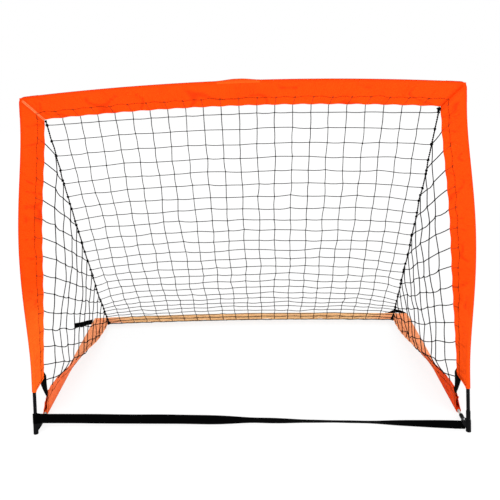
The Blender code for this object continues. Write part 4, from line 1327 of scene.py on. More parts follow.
@dataclass
class HingeCovers:
    """The cloth over the folding corners and centres."""

    flat: FlatFrame
    radius: float = 0.0070
    turns: int = 14
    reach: float = 0.048  # along each rod from the corner
    fillet: float = 0.011
    straight_steps: int = 7
    fillet_steps: int = 8
    crumple: float = 0.05  # share of the radius
    crumple_pace: float = 90.0
    centre_reach: float = 0.058
    centre_radius: float = 0.0109  # outward, over the hinge
    centre_half: float = 0.008  # half the length at the full radius
    centre_steps: int = 26
    blend_reach: float = 0.026

    def path(self, side: Side) -> list[tuple[Vector, Vector]]:
        """The line round a corner, from the side rod to the bar.

        Args:
            side: Which corner.

        Returns:
            Places (across, along) on the rods' axes, with the way inward at each.
        """
        across, along = self.flat.corner(0.0)
        straight, steps = self.reach - self.fillet, self.straight_steps
        places = []
        for i in range(steps):
            distance = along - self.reach + straight * i / steps
            places.append(Vector((self.flat.side_across(distance), distance)))
        first = Vector((self.flat.side_across(along - self.fillet), along - self.fillet))
        last = Vector((across - self.fillet, self.flat.bar_along(across - self.fillet)))
        corner = Vector((across, along))
        for i in range(self.fillet_steps + 1):
            t = i / self.fillet_steps
            places.append(first * (1 - t) ** 2 + corner * 2 * t * (1 - t) + last * t ** 2)
        for i in range(1, steps + 1):
            distance = across - self.fillet - straight * i / steps
            places.append(Vector((distance, self.flat.bar_along(distance))))
        made = []
        for before, place, after in zip([places[0], *places], places, [*places[1:], places[-1]]):
            way = (after - before).normalized()
            made.append((place, Vector((-way.y, way.x))))
        return made

    def corner_rings(self, side: Side) -> list[list[Vector]]:
        """The rings of a corner's cover."""
        rings = []
        for place, inward in self.path(side):
            ring = []
            for j in range(self.turns):
                angle = math.tau * j / self.turns
                grain = Vector((place.x * self.crumple_pace, place.y * self.crumple_pace, angle))
                crease = 1.0 + self.crumple * noise.noise(grain)
                spot = place + inward * (self.radius * crease * math.cos(angle))
                out = self.radius * math.sin(angle)
                ring.append(self.flat.point(side.value * spot.x, spot.y, out))
            rings.append(ring)
        return rings

    def centre_rings(self) -> list[list[Vector]]:
        """The rings of the centre's cover, with room for the hinge on the outer side."""
        rings = []
        for i in range(self.centre_steps + 1):
            across = self.centre_reach * (2 * i / self.centre_steps - 1)
            swell = 1 - smoothstep(self.centre_half, self.centre_reach, abs(across))
            outward = self.radius + (self.centre_radius - self.radius) * swell
            ring = []
            for j in range(self.turns):
                angle = math.tau * j / self.turns
                inward = math.cos(angle) * (self.radius if math.cos(angle) > 0 else outward)
                along = self.flat.bar_along(abs(across)) - inward
                ring.append(self.flat.point(across, along, self.radius * math.sin(angle)))
            rings.append(ring)
        return rings

    def make(
        self, word: str, rings: Sequence[Line], fade: float, finishes: Finishes
    ) -> bpy.types.Object:
        """Makes a cover from its rings."""
        skin = Skin()
        along = running_lengths([ring[0] for ring in rings])
        skin.add_channel(rings, along, self.radius, [fade] * len(rings))
        return skin.make(f"{self.flat.title}_{word}", finishes.cloth, CLOTH_WALL)

    def build(self, finishes: Finishes) -> None:
        """Makes each cover, and hangs the two parts of the right front corner's cover on the post
        and the crossbar.
        """
        flat, fade = self.flat, 0.0 if self.flat is FRONT else 0.8
        for side in Side:
            rings = self.corner_rings(side)
            upright, bar = f"{flat.upright}_{side.word}", f"{flat.bar}_{side.word}"
            if flat is FRONT and side is Side.RIGHT:
                # This corner closes the ring of rods and has no joint of its own: its cover parts
                middle = len(rings) // 2
                parts = (("post", rings[: middle + 1], upright), ("bar", rings[middle:], bar))
                for name, some, body in parts:
                    cover = self.make(f"corner_cover_right_{name}", some, fade, finishes)
                    hang(cover, body)
                continue
            cover = self.make(f"corner_cover_{side.word}", rings, fade, finishes)
            pin = flat.point(side.value * (HALF_WIDTH - CORNER_INSET), flat.length - CORNER_INSET)
            way = flat.way(-side.value, 1, 0).normalized() * self.blend_reach
            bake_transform(cover)
        cover = self.make("centre_cover", self.centre_rings(), fade + 0.1, finishes)
        way = flat.way(1, 0, 0) * self.blend_reach
        middle = flat.point(0.0, flat.bar_along(0.0))
        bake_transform(cover)
        LOG.info("%s hinge covers bend with their hinges", flat.title)


# Net

@dataclass
class NetShape:
    """The surfaces that the net's strands and edge cords follow."""

    inset: float = SLEEVE_WIDTH + 0.0035
    cord_sag: float = 0.060
    cord_pull: float = 0.018  # the net pulls each edge cord inward
    net_sag: float = 0.110
    flatness: float = 6.0  # the net hangs this evenly between its edge cords; 2 is a parabola
    row_lead: float = 0.4  # the back net's first row is this part of a cell nearer the crossbar
    edge_pace: float = 0.0483  # the back net's rows are tied this far apart along each cord
    edge_lead: float = 0.035
    edge_end_pace: float = 0.025  # and at least this far apart at the cord's rear end
    belly: float = 0.020  # the side nets hang this far inward, near the post
    belly_lean: float = 0.6  # 1 would put the belly halfway from the post to the cord
    row_sag: float = 0.010
    row_start: float = 0.25  # the side nets' rows start this part of a cell below the top corner
    cord_pace: float = 0.0865  # each row of a side net meets the cord this much further along it
    cord_lag: float = 0.07  # the hanging cord is this much nearer the post than its share, halfway
    last_row: float = 11.56  # the row that meets the rear corner; those below end on the base
    tuck: float = 0.0035  # a strand's end is sewn this far inside the cloth's edge

    def corner(self, flat: FlatFrame, side: Side) -> Vector:
        """Where an edge cord meets the frame's inner corner."""
        across, along = flat.mitre(self.inset, 0.0)
        return flat.point(side.value * across, along, turned(self.inset, 0.0, flat.droop)[1])

    def sag_way(self) -> Vector:
        """The way in which the net hangs below its flat shape."""
        chord = (self.corner(BASE, Side.RIGHT) - self.corner(FRONT, Side.RIGHT)).normalized()
        return Vector((0.0, chord.z, -chord.y)).normalized()

    def cord(self, side: Side, share: float) -> Vector:
        """A point of the edge cord, from the top corner to the rear corner."""
        top, rear = self.corner(FRONT, side), self.corner(BASE, side)
        bow = 4 * share * (1 - share)
        pull = Vector((side.value * self.cord_pull * bow, 0.0, 0.0))
        return top.lerp(rear, share) + self.sag_way() * (self.cord_sag * bow) - pull

    def bar_edge(self, flat: FlatFrame, across: float) -> Vector:
        """A point just inside the edge of a bar's cloth, where a strand is sewn in."""
        inward, out = turned(SLEEVE_WIDTH - self.tuck, 0.0, flat.droop)
        return flat.point(across, flat.bar_along(across) - inward, out)

    def back(self, across: float, middle: float, edge: float) -> Vector:
        """A point of the back net.

        Args:
            across: From -1 at the left edge cord to 1 at the right one.
            middle: The row's place at the goal's centre, from 0 at the crossbar to 1 at the rear.
            edge: Its place along the edge cords.

        Returns:
            The point in the world.
        """
        side = Side.RIGHT if across > 0 else Side.LEFT
        row = middle + (edge - middle) * abs(across) ** self.flatness
        cord = self.cord(side, row)

        def hung(place: float) -> Vector:
            """A point of the net as it would hang between the two bars alone."""
            wide = abs(cord.x) * place
            top, low = self.bar_edge(FRONT, wide), self.bar_edge(BASE, wide)
            sag = self.net_sag - self.cord_sag
            sag = self.cord_sag + sag * (1 - abs(place) ** self.flatness)
            return top.lerp(low, row) + self.sag_way() * (4 * sag * row * (1 - row))

        miss = cord - hung(side.value)
        return hung(across) + miss * abs(across) ** self.flatness

    def rows(self) -> list[tuple[float, float]]:
        """Where the back net's rows are: evenly spaced down its middle, wider along the cords."""
        steps = 120
        lengths = running_lengths([self.back(0.0, i / steps, i / steps) for i in range(steps + 1)])
        rows, step = [], 0
        for row in range(1, int(NET_ROWS) + 1):
            reach = lengths[-1] * (row - self.row_lead) / NET_ROWS
            while lengths[step + 1] < reach:
                step += 1
            part = (reach - lengths[step]) / (lengths[step + 1] - lengths[step])
            last = 1 - self.edge_end_pace * (NET_ROWS - row)
            rows.append(((step + part) / steps, min(self.edge_pace * row - self.edge_lead, last)))
        return rows

    def side_rows(self) -> list[float]:
        """The side nets' rows, counted from the top corner."""
        return [row + self.row_start for row in range(1, int(SIDE_ROWS))]

    def post_edge(self, side: Side, height: float) -> Vector:
        """A point of the net's edge by the post: up the link tab, then the post cloth's edge."""
        post = ClothSleeve(FRONT, side, Rail.UPRIGHT)
        low, foot = self.base_edge(side, 0.0), post.place(0.0, SLEEVE_WIDTH - self.tuck, 0.0)
        tab = (foot - low).length / ((foot - low).length + post.length())
        if height < tab:
            return low.lerp(foot, height / tab)
        return post.place((height - tab) / (1 - tab), SLEEVE_WIDTH - self.tuck, 0.0)

    def base_edge(self, side: Side, reach: float) -> Vector:
        """A point of the base cloth's inner edge, from its front to the rear corner."""
        return ClothSleeve(BASE, side, Rail.UPRIGHT).place(reach, SLEEVE_WIDTH - self.tuck, 0.0)

    def row_end(self, side: Side, row: float) -> tuple[float, Vector]:
        """Where a row of the side net ends.

        Args:
            side: Which side.
            row: The row, counted from the top corner.

        Returns:
            How far back it reaches, from 0 at the post to 1 at the rear corner, and the place.
        """
        if row <= self.last_row:
            share = self.cord_pace * row
            return share - 4 * self.cord_lag * share * (1 - share), self.cord(side, share)
        reach = (SIDE_ROWS - row) / (SIDE_ROWS - self.last_row)
        return reach, self.base_edge(side, reach)

    def cord_row(self, reach: float) -> float:
        """The row of a side net that meets the cord this far back."""
        lag = 4 * self.cord_lag
        root = math.sqrt((1 - lag) ** 2 + 4 * lag * reach)
        return (root - 1 + lag) / (2 * lag * self.cord_pace)

    def flank(self, side: Side, reach: float, row: float) -> Vector:
        """A point of the side net, whose rows slant down from the post to the edge cord.

        Args:
            side: Which side.
            reach: From 0 at the post to 1 at the rear corner.
            row: The row, counted from the top corner.

        Returns:
            The point in the world.
        """
        limit, end = self.row_end(side, row)
        share = min(reach / max(limit, 1e-4), 1.0)
        free = min(limit * 2, 1.0) * min(SIDE_ROWS - row, 2.0) / 2
        inward = self.belly * math.sin(math.pi * share ** self.belly_lean) * free
        droop = Vector((-side.value * inward, 0.0, -self.row_sag * 4 * share * (1 - share) * free))
        return self.post_edge(side, 1 - row / SIDE_ROWS).lerp(end, share) + droop


def swayed(point: Vector, hold: float) -> Vector:
    """A net point moved a little, alike for both strands of a crossing.

    Args:
        point: The even place.
        hold: 0 where the net is held, 1 where it hangs free.

    Returns:
        The place on a slack, hand-knotted net.
    """
    wide, near = noise.noise_vector(point / 0.13), noise.noise_vector(point / 0.045)
    return point + (wide * 0.0045 + near * 0.0042) * hold


def slack_line(crossings: Line, draw: random.Random, slack: float = 0.0011) -> list[Vector]:
    """Joins crossings with short runs that wander a little.

    Args:
        crossings: The places of the knots along one strand.
        draw: The source of the wander.
        slack: How far a run wanders from straight.

    Returns:
        The strand's points: three steps for each run.
    """
    line = [crossings[0]]
    for before, after in zip(crossings, crossings[1:]):
        lean = Vector([draw.uniform(-1, 1) for _ in range(3)]) * slack
        lean.z -= slack * 0.6
        line.extend((before.lerp(after, 1 / 3) + lean, before.lerp(after, 2 / 3) + lean, after))
    for point in line:
        point.z = max(point.z, GROUND_GAP)
    return line


@dataclass
class BackNet:
    """Half of the square-mesh net behind the goal."""

    side: Side
    shape: NetShape
    twine: float = 0.0011
    knot: float = 0.0021
    split: int = 12  # the row that ends the part sewn to the crossbar
    fold_keep: float = 0.04

    def at(self, column: float, row: tuple[float, float]) -> Vector:
        """A crossing of the half, its column counted from the centre."""
        across = self.side.value * column / NET_COLUMNS
        hold = min(row[0] * 8, (1 - row[0]) * 8, (1 - abs(across)) * 10, 1.0)
        return swayed(self.shape.back(across, *row), max(hold, 0.0))

    def add_part(self, word: str, flat: FlatFrame, finishes: Finishes) -> None:
        """Makes the upper or the lower part of the half net.

        Args:
            word: The part's word in its name.
            flat: The frame whose bar it is sewn to and hangs from.
            finishes: The goal's finishes.
        """
        rows = self.shape.rows()
        draw = random.Random(31 + self.side.value + len(word))
        if flat is FRONT:
            stops, own = [(0.0, 0.0), *rows[: self.split]], rows[: self.split]
        else:
            stops, own = [*rows[self.split - 1 :], (1.0, 1.0)], rows[self.split :]
        first = 0 if self.side is Side.LEFT else 1
        columns = [
            slack_line([self.at(column, row) for row in stops], draw)
            for column in range(first, NET_COLUMNS)
        ]
        across = [
            slack_line([self.at(column, row) for column in range(NET_COLUMNS + 1)], draw)
            for row in own
        ]
        name = f"back_net_{word}_{self.side.word}"
        net = finishes.netting(name, columns, across, self.twine, self.knot)
        stands_for = [f"back_net_{self.side.word}"] if flat is FRONT else []
        hang(net, f"{flat.bar}_{self.side.word}", stands_for)
        way = self.shape.back(0.0, *stops[-1]) - self.shape.back(0.0, *stops[0])
        anchor = self.shape.bar_edge(flat, 0.0)
        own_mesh(net)

    def build(self, finishes: Finishes) -> None:
        """Makes the half net in two parts, sewn to the crossbar and to the rear bar."""
        self.add_part("upper", FRONT, finishes)
        self.add_part("lower", BASE, finishes)


@dataclass
class HemCord:
    """Half of the dark cord that gathers the front edge of the rear bar's cloth."""

    side: Side
    radius: float = 0.0015
    knot: float = 0.0023
    wander: float = 0.0018
    step: float = 0.008

    def build(self, finishes: Finishes) -> None:
        """Makes the cord and hangs it on its half of the rear bar."""
        sleeve = ClothSleeve(BASE, self.side, Rail.BAR)
        count = int(sleeve.length() / self.step)
        line = []
        for i in range(count + 1):
            share = i / count
            free = min(share, 1 - share, 0.04) / 0.04
            sway = self.wander * noise.noise(Vector((share * 19, self.side.value, 6.0))) * free
            line.append(sleeve.place(share, sleeve.width + 0.0006 + sway, -0.0022 - 0.6 * sway))
        name = f"rear_hem_cord_{self.side.word}"
        mesh = lines_mesh(name, [line], [[i % 8 == 4 for i in range(len(line))]])
        cord = finishes.tied(name, mesh, self.radius, self.knot)
        hang(cord, sleeve.body)
        axis, anchor, keep = sleeve.crumple()
        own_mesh(cord)


@dataclass
class SideNet:
    """The triangle of net at one side, with the knotted cord along its sloping edge."""

    side: Side
    shape: NetShape
    twine: float = 0.0014
    knot: float = 0.0025
    slack: float = 0.0024  # the side nets' rows hang slacker than the back net's
    fold_keep: float = 0.05
    end_pace: float = 0.2  # no knot is nearer a column's end than this part of a cell
    knot_loops: int = 40
    knot_width: float = 0.0022
    knot_depth: float = 0.0028
    knot_reach: float = 0.004  # from the corner to the middle of its knot

    @property
    def body(self) -> str:
        """The body that carries the net and its cord."""
        return f"post_{self.side.word}"

    def gather(self, piece: bpy.types.Object) -> None:
        """Gives a piece of the side net a mesh of its own."""
        rear = self.shape.corner(BASE, self.side)
        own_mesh(piece)

    def at(self, reach: float, row: float) -> Vector:
        """A crossing of the side net."""
        limit = self.shape.row_end(self.side, row)[0]
        hold = min(reach * 12, (limit - reach) * 12, (SIDE_ROWS - row) / 2, 1.0)
        return swayed(self.shape.flank(self.side, reach, row), 1.5 * max(hold, 0.0))

    def add_net(self, finishes: Finishes) -> None:
        """Makes the net: its columns run up from the base's cloth, its rows back from the post."""
        draw = random.Random(53 + self.side.value)
        columns, across = [], []
        rows = self.shape.side_rows()
        reaches = [i / SIDE_COLUMNS for i in range(1, SIDE_COLUMNS)]
        for reach in reaches:
            first = self.shape.cord_row(reach)
            last = SIDE_ROWS - reach * (SIDE_ROWS - self.shape.last_row)
            inner = [row for row in rows if first + self.end_pace < row < last - self.end_pace]
            columns.append(slack_line([self.at(reach, row) for row in (first, *inner, last)], draw))
        for row in rows:
            limit = self.shape.row_end(self.side, row)[0]
            inner = [reach for reach in reaches if reach < limit - 0.012]
            stops = [self.at(reach, row) for reach in (0.0, *inner, limit)]
            across.append(slack_line(stops, draw, self.slack))
        name = f"side_net_mesh_{self.side.word}"
        net = finishes.netting(name, columns, across, self.twine, self.knot)
        hang(net, self.body, [f"side_net_{self.side.word}"])
        self.gather(net)

    def add_cord(self, finishes: Finishes) -> None:
        """Makes the laid cord with its beads of knots, and the large knots at its two ends."""
        shape = self.shape
        rows = [edge for _, edge in shape.rows()]
        rows += [shape.cord_pace * row for row in shape.side_rows() if row < shape.last_row]
        line = []
        stops = sorted({0.0, 1.0, *rows, *(i / 60 for i in range(61))})
        for stop in stops:
            line.append(swayed(shape.cord(self.side, stop), min(stop * 6, (1 - stop) * 6, 0.5)))
        name = f"edge_cord_{self.side.word}"
        mesh = lines_mesh(name, [line], [[stop in rows for stop in stops]])
        cord = finishes.laid.grow(name, mesh, finishes.twine, seed=5)
        hang(cord, self.body, [f"net_edge_cord_{self.side.word}"])
        self.gather(cord)
        for end, title in ((0.0, "top"), (1.0, "rear")):
            self.add_end_knot(end, title, finishes)

    def add_end_knot(self, end: float, title: str, finishes: Finishes) -> None:
        """Makes an overhand knot where the cord is tied to the cloth's corner.

        Args:
            end: 0 for the top of the cord, 1 for its rear end.
            title: The knot's place, in its name.
            finishes: The goal's finishes.
        """
        middle = self.shape.cord(self.side, end)
        inner = self.shape.cord(self.side, abs(end - 0.02))
        way = (inner - middle).normalized()
        aside = way.cross(Vector((self.side.value, 0.0, 0.0))).normalized()
        other = way.cross(aside)
        large = 0.5 if end == 0 and self.side is Side.LEFT else 1.1
        line = []
        for i in range(self.knot_loops + 1):
            angle = math.tau * i / self.knot_loops
            wide = self.knot_width * large * (2 + math.cos(3 * angle))
            line.append(
                middle
                + aside * wide * math.cos(2 * angle) * 0.75
                + other * wide * math.sin(2 * angle) * 0.75
                + way * large * (self.knot_depth * math.sin(3 * angle) + self.knot_reach)
            )
        lift = max(0.0, GROUND_GAP - min(point.z for point in line))
        line = [point + Vector((0, 0, lift)) for point in line]
        name = f"cord_knot_{title}_{self.side.word}"
        knot = finishes.tied(name, lines_mesh(name, [line]), 0.0011 + 0.0006 * large)
        hang(knot, self.body)
        self.gather(knot)

    def build(self, finishes: Finishes) -> None:
        """Makes the side net and its cord."""
        self.add_net(finishes)
        self.add_cord(finishes)


# Webbing

@dataclass(frozen=True)
class Ribbon:
    """Flat webbing along a path of (point, width direction, face direction)."""

    half_width: float
    half_thickness: float
    bevel: float = 0.0004

    def section(self) -> list[tuple[float, float]]:
        """The ribbon's section, with worn, rounded edges."""
        w, t, b = self.half_width, self.half_thickness, self.bevel
        upper = [(-w, t * 0.3), (-w + b, t), (-w / 2, t), (0.0, t), (w / 2, t), (w - b, t)]
        upper.append((w, t * 0.3))
        return [*upper, *((x, -y) for x, y in reversed(upper))]

    def make(
        self,
        name: str,
        path: Sequence[Station],
        material: bpy.types.Material,
        widths: Sequence[float] = (),
    ) -> bpy.types.Object:
        """Makes the ribbon.

        Args:
            name: The object's name.
            path: Points, each with its width and face directions.
            material: Its finish.
            widths: The share of the full width at each point, where it changes.

        Returns:
            The ribbon, a closed mesh.
        """
        section = self.section()
        rings = []
        for i, (point, wide, face) in enumerate(path):
            w, f = wide.normalized(), face.normalized()
            share = widths[i] if widths else 1.0
            rings.append([point + w * (x * share) + f * y for x, y in section])
        across = [x for x, _ in section]
        along = running_lengths([point for point, _, _ in path])
        skin = Skin()
        skin.add_rings(rings, along, [*across, across[0]], closed=True, capped=True)
        return skin.make(name, material)


def box_stitch(
    point: Vector, wide: Vector, run: Vector, half_wide: float, half_run: float
) -> list[list[Vector]]:
    """The lines of a box stitch with a cross in it.

    Args:
        point: Its middle.
        wide: A way across the webbing.
        run: A way along it.
        half_wide: Half the box's width.
        half_run: Half its length.

    Returns:
        Three lines of points: the box and the two diagonals.
    """
    signs = ((-1, -1), (1, -1), (1, 1), (-1, 1))
    corners = [point + wide * half_wide * x + run * half_run * y for x, y in signs]
    return [[*corners, corners[0]], [corners[0], corners[2]], [corners[1], corners[3]]]


@dataclass
class GroundStrap:
    """The webbing between the feet: round the left boot, and behind the right one's shoulder."""

    width: float = 0.027
    thickness: float = 0.0012
    low: float = 0.0052
    tail: float = 0.034
    loop_gap: float = 0.0001  # half the gap between the sewn tail and the run over it
    loop_lead: float = 35.0  # the loop leaves the boot this many degrees from straight inward
    loop_steps: int = 26
    dip: float = 0.004
    fall: float = 2.2
    sway: float = 0.0022
    right_height: float = 0.0146
    right_end: float = 0.0062
    right_box: float = 0.028
    shoulder: float = 0.004
    flat_turn: float = 55.0
    run_steps: int = 72
    box_length: float = 0.007  # half of each box stitch
    fold_keep: float = 0.11

    def loop(self) -> list[Station]:
        """The loop at the left end, from its sewn tail round the boot to its run."""
        radius = BOOT_NECK_RADIUS + FIT + self.thickness / 2
        middle = self.low + self.width / 2
        along = FRONT.way(0, 1, 0)
        apart = self.thickness / 2 + self.loop_gap

        def at(inward: float, out: float, face: tuple[float, float]) -> Station:
            """A station of the loop, with its face's way as (inward, out)."""
            point = FRONT.point(inward - HALF_WIDTH, middle, out)
            return point, along, FRONT.way(face[0], 0.0, face[1])

        path = [at(self.tail * share, -apart, (0.0, 1.0)) for share in (1.0, 0.8, 0.6, 0.45)]
        lead = math.radians(self.loop_lead)
        for i in range(self.loop_steps + 1):
            angle = -lead - (math.tau - 2 * lead) * i / self.loop_steps
            face = (-math.cos(angle), -math.sin(angle))
            path.append(at(radius * math.cos(angle), radius * math.sin(angle), face))
        path.append(at(self.tail * 0.45, apart, (0.0, -1.0)))
        return path

    def right(self, inward: float) -> Vector:
        """A place behind the right boot's shoulder, inward from the post, where the strap ends."""
        behind = -self.shoulder - FIT - self.thickness / 2
        low = (self.right_height - FRONT.point(0, 0, behind).z) / math.cos(LEAN_ANGLE)
        return FRONT.point(HALF_WIDTH - inward, low, behind)

    def path(self) -> list[Station]:
        """The whole strap's path, turned half flat before it falls to the right foot."""
        left, end = self.loop(), self.right(self.right_end)
        along, face = FRONT.way(0, 1, 0), FRONT.way(0, 0, -1)
        start = left[-1][0]
        drop = (end - start).dot(along)
        run = []
        for i in range(self.run_steps + 1):
            share = i / self.run_steps
            free = math.sin(math.pi * share)
            point = start.lerp(end, share) + along * (drop * (share ** self.fall - share))
            point.z -= self.dip * free
            point.y += self.sway * free * noise.noise(Vector((share * 7, 0.3, 0.0)))
            lying = smoothstep(0.30, 0.70, share) * (1 - 0.72 * smoothstep(0.74, 0.99, share))
            angle = math.radians(self.flat_turn) * lying
            angle += 0.26 * free * noise.noise(Vector((share * 11, 4.0, 0.0)))
            turn = Matrix.Rotation(angle, 3, "X")
            run.append((point, turn @ along, turn @ face))
        return [*left[:-1], *run]

    def build(self, finishes: Finishes) -> None:
        """Makes the strap and its stitches, carried by the left foot."""
        ribbon = Ribbon(self.width / 2, self.thickness / 2)
        strap = ribbon.make("foot_to_foot_strap", self.path(), finishes.webbing)
        hang(strap, "post_left", ["ground_strap"])
        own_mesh(strap)
        lines, size = [], (self.width * 0.38, self.box_length)
        left = FRONT.point(self.tail * 0.74 - HALF_WIDTH, self.low + self.width / 2)
        right = self.right(self.right_box)
        for middle, proud in ((left, self.thickness), (right, self.thickness / 2)):
            for way in (-1, 1):
                spot = middle + FRONT.way(0, 0, way * (proud + 0.0004))
                lines.extend(box_stitch(spot, FRONT.way(0, 1, 0), Vector((1, 0, 0)), *size))
        stitches = finishes.box_stitches("strap_stitches", lines)
        hang(stitches, "post_left")
        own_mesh(stitches)


@dataclass
class LinkTab:
    """Webbing that joins the foot of the post's cloth to the front of the base's cloth."""

    side: Side
    width: float = 0.021
    low_width: float = 0.015
    half_thickness: float = 0.0014
    overlap: float = 0.010  # sewn onto the base's sleeve by this much
    top: float = 0.030  # and up the edge of the post's by this much
    slant: float = 0.42
    beyond: float = 0.010  # at the post's foot its inner edge is this far inside the cloth's
    behind: float = 0.0028
    taper: float = 0.55
    bow: float = 0.0025  # between the two cloths it bends forward this far
    box_length: float = 0.0036  # half of each box stitch
    fold_keep: float = 0.15

    def on_post(self, real: float, up: float) -> Vector:
        """A place behind the post's cloth, this far inward of its inner edge."""
        post = ClothSleeve(FRONT, self.side, Rail.UPRIGHT)
        inward = SLEEVE_WIDTH + (real if real > 0 else real / self.taper)
        return post.place(up / post.length(), inward, -self.behind)

    def on_base(self, real: float, back: float) -> Vector:
        """A place on the base's cloth, this far inward of its inner edge."""
        base = ClothSleeve(BASE, self.side, Rail.UPRIGHT)
        return base.place(back / base.length(), SLEEVE_WIDTH + real, 0.0)

    def edges(self) -> list[tuple[Vector, Vector]]:
        """The tab's outer and inner edges, from the post down to the base."""
        pairs = []
        for i in range(5):
            up = self.top * (1 - i / 4)
            inside = self.beyond - self.slant * up
            pairs.append((self.on_post(inside - self.width, up), self.on_post(inside, up)))
        start, end = pairs[-1], (self.on_base(-self.low_width, 0.0), self.on_base(0.0, 0.0))
        for i in range(1, 9):
            share = i / 8
            bow = Vector((0.0, -self.bow * math.sin(math.pi * share), 0.0))
            outer, inside = (low.lerp(high, share) + bow for low, high in zip(start, end))
            pairs.append((outer, inside))
        for back in (self.overlap / 2, self.overlap):
            pairs.append((self.on_base(-self.low_width, back), self.on_base(0.0, back)))
        return pairs

    def build(self, finishes: Finishes) -> None:
        """Makes the tab and its stitches."""
        pairs = self.edges()
        path, widths = [], []
        for before, (outer, inside), after in zip(
            [pairs[0], *pairs], pairs, [*pairs[1:], pairs[-1]]
        ):
            run = (after[0] + after[1] - before[0] - before[1]).normalized()
            wide = (inside - outer).normalized()
            path.append(((outer + inside) / 2, wide, wide.cross(run)))
            widths.append((inside - outer).length / self.width)
        body, anchor = f"base_{self.side.word}", Vector((0, 0, ROD_HEIGHT))
        ribbon = Ribbon(self.width / 2, self.half_thickness)
        strap = ribbon.make(f"link_webbing_{self.side.word}", path, finishes.webbing, widths)
        hang(strap, body, [f"link_tab_{self.side.word}"])
        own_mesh(strap)
        lines, size = [], (self.low_width * 0.36, self.box_length)
        for index in (2, len(path) - 2):
            point, wide, face = path[index]
            run = face.cross(wide).normalized()
            for way in (-1, 1):
                middle = point + face.normalized() * (way * (self.half_thickness + 0.0003))
                lines.extend(box_stitch(middle, wide.normalized(), run, *size))
        stitches = finishes.box_stitches(f"link_stitches_{self.side.word}", lines)
        hang(stitches, body)
        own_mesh(stitches)


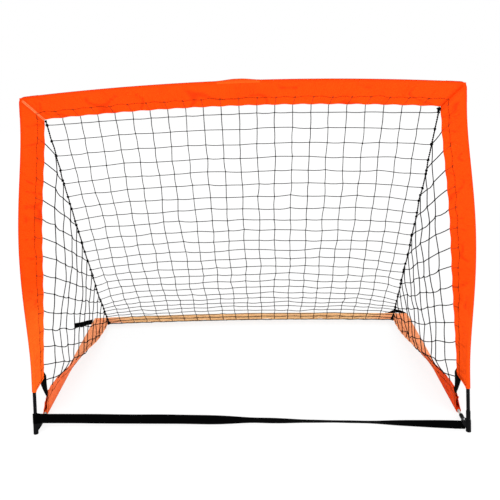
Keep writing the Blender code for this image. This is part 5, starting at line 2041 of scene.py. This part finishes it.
@dataclass
class RearTie:
    """A hook-and-loop strap at a rear corner, which binds the folded goal."""

    side: Side
    width: float = 0.019
    thickness: float = 0.0012
    length: float = 0.072
    slant: float = 0.60  # the open tie reaches this far forward for each metre outward
    seat: float = 0.0076
    setback: float = 0.026
    height: float = 0.0016
    reach: float = 0.078
    rise: float = 0.009
    radius: float = 0.0070
    steps: int = 24
    wave: float = 0.0014
    folded_width: float = 0.6  # share of the width that the folded tie shows
    patch: tuple[float, float] = (0.42, 0.92)  # where its hooks start and stop
    patch_thickness: float = 0.001
    hook: float = 0.0011

    @property
    def body(self) -> str:
        """The body that carries the tie."""
        return f"base_{self.side.word}"

    def open_path(self) -> list[Station]:
        """The left tie's path, standing open on edge."""
        up = Vector((0, 0, 1))
        way = Vector((-1, -self.slant, 0)).normalized()
        face = way.cross(up)
        root_y, root_z = HUB_Y + DEPTH - self.setback, self.height + self.width / 2
        start = Vector((-HALF_WIDTH - self.seat, root_y, root_z))
        path = []
        for i in range(self.steps + 1):
            share = i / self.steps
            wave = self.wave * smoothstep(0.1, 0.5, share) * math.sin(share * 8)
            point = start + way * (self.length * share) + face * wave + up * max(0.0, wave * 0.4)
            path.append((point, up, face))
        return path

    def folded_path(self) -> list[Station]:
        """The right tie's path, folded behind the rear bar."""
        path = []
        for i in range(self.steps + 1):
            share = i / self.steps
            across = HALF_WIDTH + 0.002 - self.reach * share
            bulge = math.sin(math.pi * min(share * 1.15, 1.0))
            behind = BASE.bar_along(across) + self.radius + FIT * 2 + self.thickness / 2
            height = self.height + self.width * self.folded_width / 2 + self.rise * bulge
            point = Vector((across, HUB_Y + behind + self.rise * bulge, height))
            path.append((point, Vector((0, 0.25 * bulge, 1)), Vector((0, 1, -0.25 * bulge))))
        return path

    def add_hooks(self, path: Sequence[Station], half: float, finishes: Finishes) -> None:
        """Makes the short stiff hooks of the patch, in rows.

        Args:
            path: The patch's path.
            half: Half the width that the hooks cover.
            finishes: The goal's finishes.
        """
        lines = []
        for point, wide, face in path[1:-1]:
            w, f = wide.normalized(), face.normalized()
            for k in range(-4, 5):
                foot = point + w * (half * k / 4)
                lines.append([foot, foot + f * self.hook])
        name = f"tie_bristles_{self.side.word}"
        mesh = lines_mesh(name, lines, [[False, True]] * len(lines))
        hang(finishes.tied(name, mesh, 0.0002, 0.0004), self.body)

    def build(self, finishes: Finishes) -> None:
        """Makes the tie, with a raised patch of hooks."""
        opened = self.side is Side.LEFT
        path = self.open_path() if opened else self.folded_path()
        half = self.width / 2 * (1.0 if opened else self.folded_width)
        ribbon, webbing = Ribbon(half, self.thickness / 2), finishes.webbing
        tie = ribbon.make(f"tie_strap_{self.side.word}", path, webbing)
        hang(tie, self.body, [f"rear_tie_{self.side.word}"])
        start, stop = (int(len(path) * share) for share in self.patch)
        lift = self.thickness / 2 + 0.0004
        raised = [
            (point + face.normalized() * lift, wide, face) for point, wide, face in path[start:stop]
        ]
        ribbon = Ribbon(half * 0.8, self.patch_thickness / 2)
        patch = ribbon.make(f"tie_hooks_{self.side.word}", raised, webbing)
        hang(patch, self.body)
        self.add_hooks(raised, half * 0.7, finishes)


# Rigid parts

@dataclass
class Hardware:
    """The rods, boots, forks, rivets and hinges, whose solids stay and get their finishes."""

    words: tuple[tuple[str, str], ...] = (
        ("_rod_", "glass_fibre"),
        ("post_leg_", "plastic"),
        ("front_foot_", "plastic"),
        ("base_fork_", "plastic"),
        ("hub_rivet_", "steel"),
        ("_corner_", "steel"),
        ("_centre_", "steel"),
    )

    def dress(self, finishes: Finishes) -> None:
        """Gives each rigid node its finish."""
        for name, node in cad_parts.items():
            for word, finish in self.words:
                if word in name:
                    node.data.materials.clear()
                    node.data.materials.append(getattr(finishes, finish))
                    LOG.info("%s has %s", name, finish)
                    break


def main() -> None:
    """Builds the studio and then each sub-assembly of the goal."""
    logging.basicConfig(level=logging.INFO, format="%(name)s: %(message)s")
    Studio().build()
    finishes = Finishes()
    Hardware().dress(finishes)
    for flat in (FRONT, BASE):
        for side in Side:
            for rail in Rail:
                ClothSleeve(flat, side, rail).build(finishes)
        HingeCovers(flat).build(finishes)
    shape = NetShape()
    for side in Side:
        BackNet(side, shape).build(finishes)
        SideNet(side, shape).build(finishes)
        HemCord(side).build(finishes)
        LinkTab(side).build(finishes)
        RearTie(side).build(finishes)
    GroundStrap().build(finishes)


if __name__ == "__main__":
    main()
